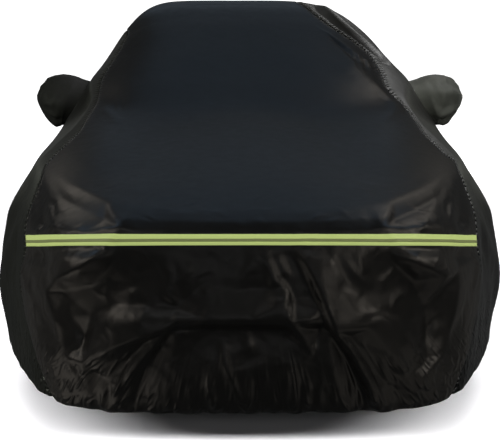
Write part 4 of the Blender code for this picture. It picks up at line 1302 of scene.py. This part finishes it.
def pale_floor():
    """A pale floor that turns plain white far out, and a pale backdrop all round."""
    bpy.ops.mesh.primitive_plane_add(size=FLOOR_SIZE, location=(0.0, 0.0, -ROOF_HEIGHT))
    floor = bpy.context.object
    floor.name = "floor"
    material, tree, shader = pale_finish("pale floor", FLOOR_COLOUR, 0.0)
    away = add_node(tree, "ShaderNodeVectorMath", operation="LENGTH")
    tree.links.new(add_node(tree, "ShaderNodeTexCoord").outputs["Object"], away.inputs[0])
    glow = spread(tree, away.outputs["Value"], *FLOOR_GLOWS, 0.0, FLOOR_GLOW)
    tree.links.new(glow, shader.inputs["Emission Strength"])
    floor.data.materials.append(material)
    bpy.ops.mesh.primitive_uv_sphere_add(radius=BACKDROP_RADIUS, segments=48, ring_count=24)
    backdrop = bpy.context.object
    backdrop.name = "backdrop"
    backdrop.data.materials.append(pale_finish("pale backdrop", (0.0, 0.0, 0.0), BACKDROP_GLOW)[0])
    for piece in (floor, backdrop):
        piece.visible_diffuse = False
        piece.visible_glossy = False
    backdrop.visible_shadow = False
    return floor


SKY, WARM, OLIVE, WHITE = (0.46, 0.70, 1.0), (1.0, 0.90, 0.78), (0.95, 1.0, 0.84), (1.0, 1.0, 1.0)
# Softboxes by the pieces that they fall on
SOFTBOXES = {
    # name, place, aimed at, size, power, colour
    "centre": (
        ("top", (0.0, 0.0, 2.6), (0.0, -1.0, -0.5), (3.4, 1.9), 5.2, SKY),
        ("top rear", (0.0, 3.0, 2.6), (0.0, -1.0, -0.5), (3.4, 4.1), 4.7, SKY),
        ("front top", (0.0, -5.6, 2.4), (0.0, -2.4, -0.9), (4.0, 1.2), 11.5, WHITE),
        ("front low", (0.0, -5.6, -0.9), (0.0, -2.4, -0.9), (2.0, 0.4), 1.8, WHITE),
        ("band", (1.85, -5.2, -0.60), (0.25, -2.4, -0.9), (0.5, 0.5), 5.6, WARM),
        ("sleeve", (-2.1, -4.1, 0.80), (-0.35, -2.4, -0.9), (0.5, 0.5), 2.5, WARM),
        ("left", (-4.2, -2.4, 1.4), (0.0, -1.8, -0.8), (2.0, 1.4), 22.0, WARM),
        ("right", (4.2, -2.4, 1.4), (0.0, -1.8, -0.8), (2.0, 1.4), 26.0, WARM),
        ("left lamp", (-3.7, -4.8, 1.1), (-0.4, -2.2, -0.8), (1.2, 1.0), 20.0, WARM),
        ("right lamp", (3.7, -4.8, 1.1), (0.4, -2.2, -0.8), (1.2, 1.0), 22.0, WARM),
        ("left high", (-2.6, -1.6, 2.6), (-0.5, -2.0, -0.6), (1.6, 1.6), 9.0, SKY),
        ("right high", (2.6, -1.6, 2.6), (0.5, -2.0, -0.6), (1.6, 1.6), 8.0, SKY),
        ("left back", (-1.60, -0.60, 0.50), (-0.6, -2.0, -0.6), (0.7, 0.6), 1.4, WARM),
        ("right back", (1.60, -0.60, 0.50), (0.6, -2.0, -0.6), (0.7, 0.6), 0.9, WARM),
        ("right cabin", (1.7, -0.1, 2.2), (0.5, -1.0, -0.4), (0.8, 0.8), 5.0, WARM),
        ("left floor", (-2.6, -1.0, -1.44), (-1.0, -1.8, -1.0), (1.6, 2.4), 0.9, WARM),
        ("right floor", (2.6, -1.0, -1.44), (1.0, -1.8, -1.0), (1.6, 2.4), 0.9, WARM),
        ("left foot", (-0.95, -2.5, -1.44), (-0.6, -2.3, -1.2), (0.5, 0.5), 0.58, WARM),
        ("right foot", (0.95, -2.5, -1.44), (0.6, -2.3, -1.2), (0.5, 0.5), 0.16, WARM),
        ("left hem", (-0.55, -2.75, -1.44), (-0.15, -2.35, -1.15), (0.4, 0.4), 0.14, WARM),
        ("right hem", (0.55, -2.75, -1.44), (0.15, -2.35, -1.15), (0.4, 0.4), 0.14, WARM),
    ),
    "sides": (
        ("left side", (-4.0, -3.4, 0.2), (-0.9, -1.6, -0.8), (1.6, 2.0), 70.0, OLIVE),
        ("right side", (4.0, -3.4, 0.4), (0.9, -1.6, -0.8), (1.6, 2.0), 1.5, OLIVE),
        ("left rear", (-4.0, 2.4, 0.8), (-0.9, -1.6, -0.6), (1.3, 1.2), 4.0, OLIVE),
        ("right rear", (4.0, 2.4, 0.8), (0.9, -1.6, -0.6), (1.3, 1.2), 6.0, OLIVE),
        ("right above", (1.9, -1.4, 2.6), (0.8, -1.2, -0.4), (1.6, 1.6), 115.0, WHITE),
        ("right top", (1.8, 2.0, 2.6), (0.8, -0.8, -0.4), (2.4, 1.7), 30.0, WHITE),
    ),
    "left pocket": (
        ("left front", (-1.3, -2.9, 0.1), (-0.85, -0.65, -0.4), (3.0, 2.4), 11.0, OLIVE),
    ),
    "right pocket": (
        ("right front", (1.3, -2.9, 0.1), (0.85, -0.65, -0.4), (3.0, 2.4), 120.0, OLIVE),
        ("pocket top", (1.0, -1.5, 1.6), (0.85, -0.65, -0.4), (1.6, 1.6), 66.0, OLIVE),
    ),
    "floor": (
        ("floor front", (0.0, -6.6, 1.66), (0.0, -2.3, -1.3), (10.8, 0.55), 1130.0, WHITE),
        ("floor low", (0.0, -6.6, 0.50), (0.0, -2.3, -1.4), (9.0, 0.50), 26.0, WHITE),
        ("floor top", (0.0, 0.0, 6.0), (0.0, 0.0, 0.0), (8.0, 8.0), 860.0, WHITE),
    ),
}


def add_light(receivers):
    """Softboxes that each fall on some pieces alone, so that the floor is white and the cloth stays dark."""
    view = bpy.context.scene.view_settings
    view.view_transform = "Standard"
    view.look = "None"
    world = bpy.context.scene.world or bpy.data.worlds.new("studio")
    bpy.context.scene.world = world
    world.use_nodes = True
    ground = world.node_tree.nodes["Background"]
    ground.inputs["Color"].default_value, ground.inputs["Strength"].default_value = SURROUNDINGS
    for group, pieces in receivers.items():
        lit = bpy.data.collections.new(f"lit {group}")
        for piece in pieces:
            lit.objects.link(piece)
        for row in SOFTBOXES[group]:
            softbox(*row).light_linking.receiver_collection = lit


# ---------------------------------------------------------------- the making

def finish_sheet(piece, node, slot, material, flat, area, rests_on=(), with_pieces=()):
    """Gives a sheet its finish and hides the solid that it stands for. What it was cut to is not used."""
    piece.data.materials.clear()
    piece.data.materials.append(material)
    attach(piece, "root")
    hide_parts(node)


def build_cover():
    """All pieces of the cover. Gives them back by the group of softboxes that lights them."""
    centre_cloth = coated_cloth("coated centre cloth", *CENTRE_COATING)
    # its olive tint is painted light, standing in for the light on the sides
    side_cloth = coated_cloth("coated side cloth", *SIDE_COATING)
    grey_thread = thread("grey thread", THREAD_COLOUR)
    lime = woven_tape("lime tape", *LIME_WEAVE)
    grey = woven_tape("grey reflecting strip", *GREY_WEAVE)

    places = row_places()
    middle = centre_grid(places)
    normals = grid_normals(middle)
    panel = sheet_piece("centre_cloth", middle, True, CLOTH, seams=(0, -1))
    stitching = []
    for word, seam in (("left", 0), ("right", -1)):
        line = topstitch(f"stitching_{word}", middle, normals, seam)
        line.data.materials.append(grey_thread)
        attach(line, "root")
        stitching.append(line)
    finish_sheet(panel, "centre_panel", "middle_cloth", centre_cloth, *CENTRE_CUT, with_pieces=stitching)

    low = row_number("tape low")
    first, last = low + TAPE_FROM, low + TAPE_TO
    band = band_grid(middle, places, normals, first, last, TAPE_STEPS, CLOTH + LAY_GAP)
    tape = sheet_piece("tape_lime", band, True, TAPE_THICK)
    finish_sheet(tape, "reflective_tape", "lime_tape", lime, TAPE_CUT, None, rests_on=["centre_cloth"])
    span = last - first
    first, last = first + STRIP_FROM * span, first + STRIP_TO * span
    band = band_grid(middle, places, normals, first, last, STRIP_STEPS, CLOTH + 2 * LAY_GAP + TAPE_THICK)
    strip = sheet_piece("strip_grey", band, True, STRIP_THICK)
    finish_sheet(strip, "reflective_strip", "grey_strip", grey, STRIP_CUT, None, rests_on=["tape_lime"])
    lit = {"centre": [panel, *stitching, tape, strip], "sides": []}

    for side, word in ((-1, "left"), (1, "right")):
        grid = side_grid(places, side)
        piece = sheet_piece(f"side_cloth_{word}", grid, side > 0, CLOTH, seams=(0,))
        cut_opening(piece, side)
        finish_sheet(piece, f"side_panel_{word}", "side_cloth", side_cloth, *SIDE_CUTS[side])
        pocket = build_pocket(side, f"pocket_cloth_{word}", grid)
        finish_sheet(pocket, f"mirror_pocket_{word}", "side_cloth", side_cloth, *POCKET_CUT)
        lit["sides"] += [piece, pocket]
        lit[f"{word} pocket"] = [pocket]
    return lit


add_camera()
floor = pale_floor()
add_light({**build_cover(), "floor": [floor]})
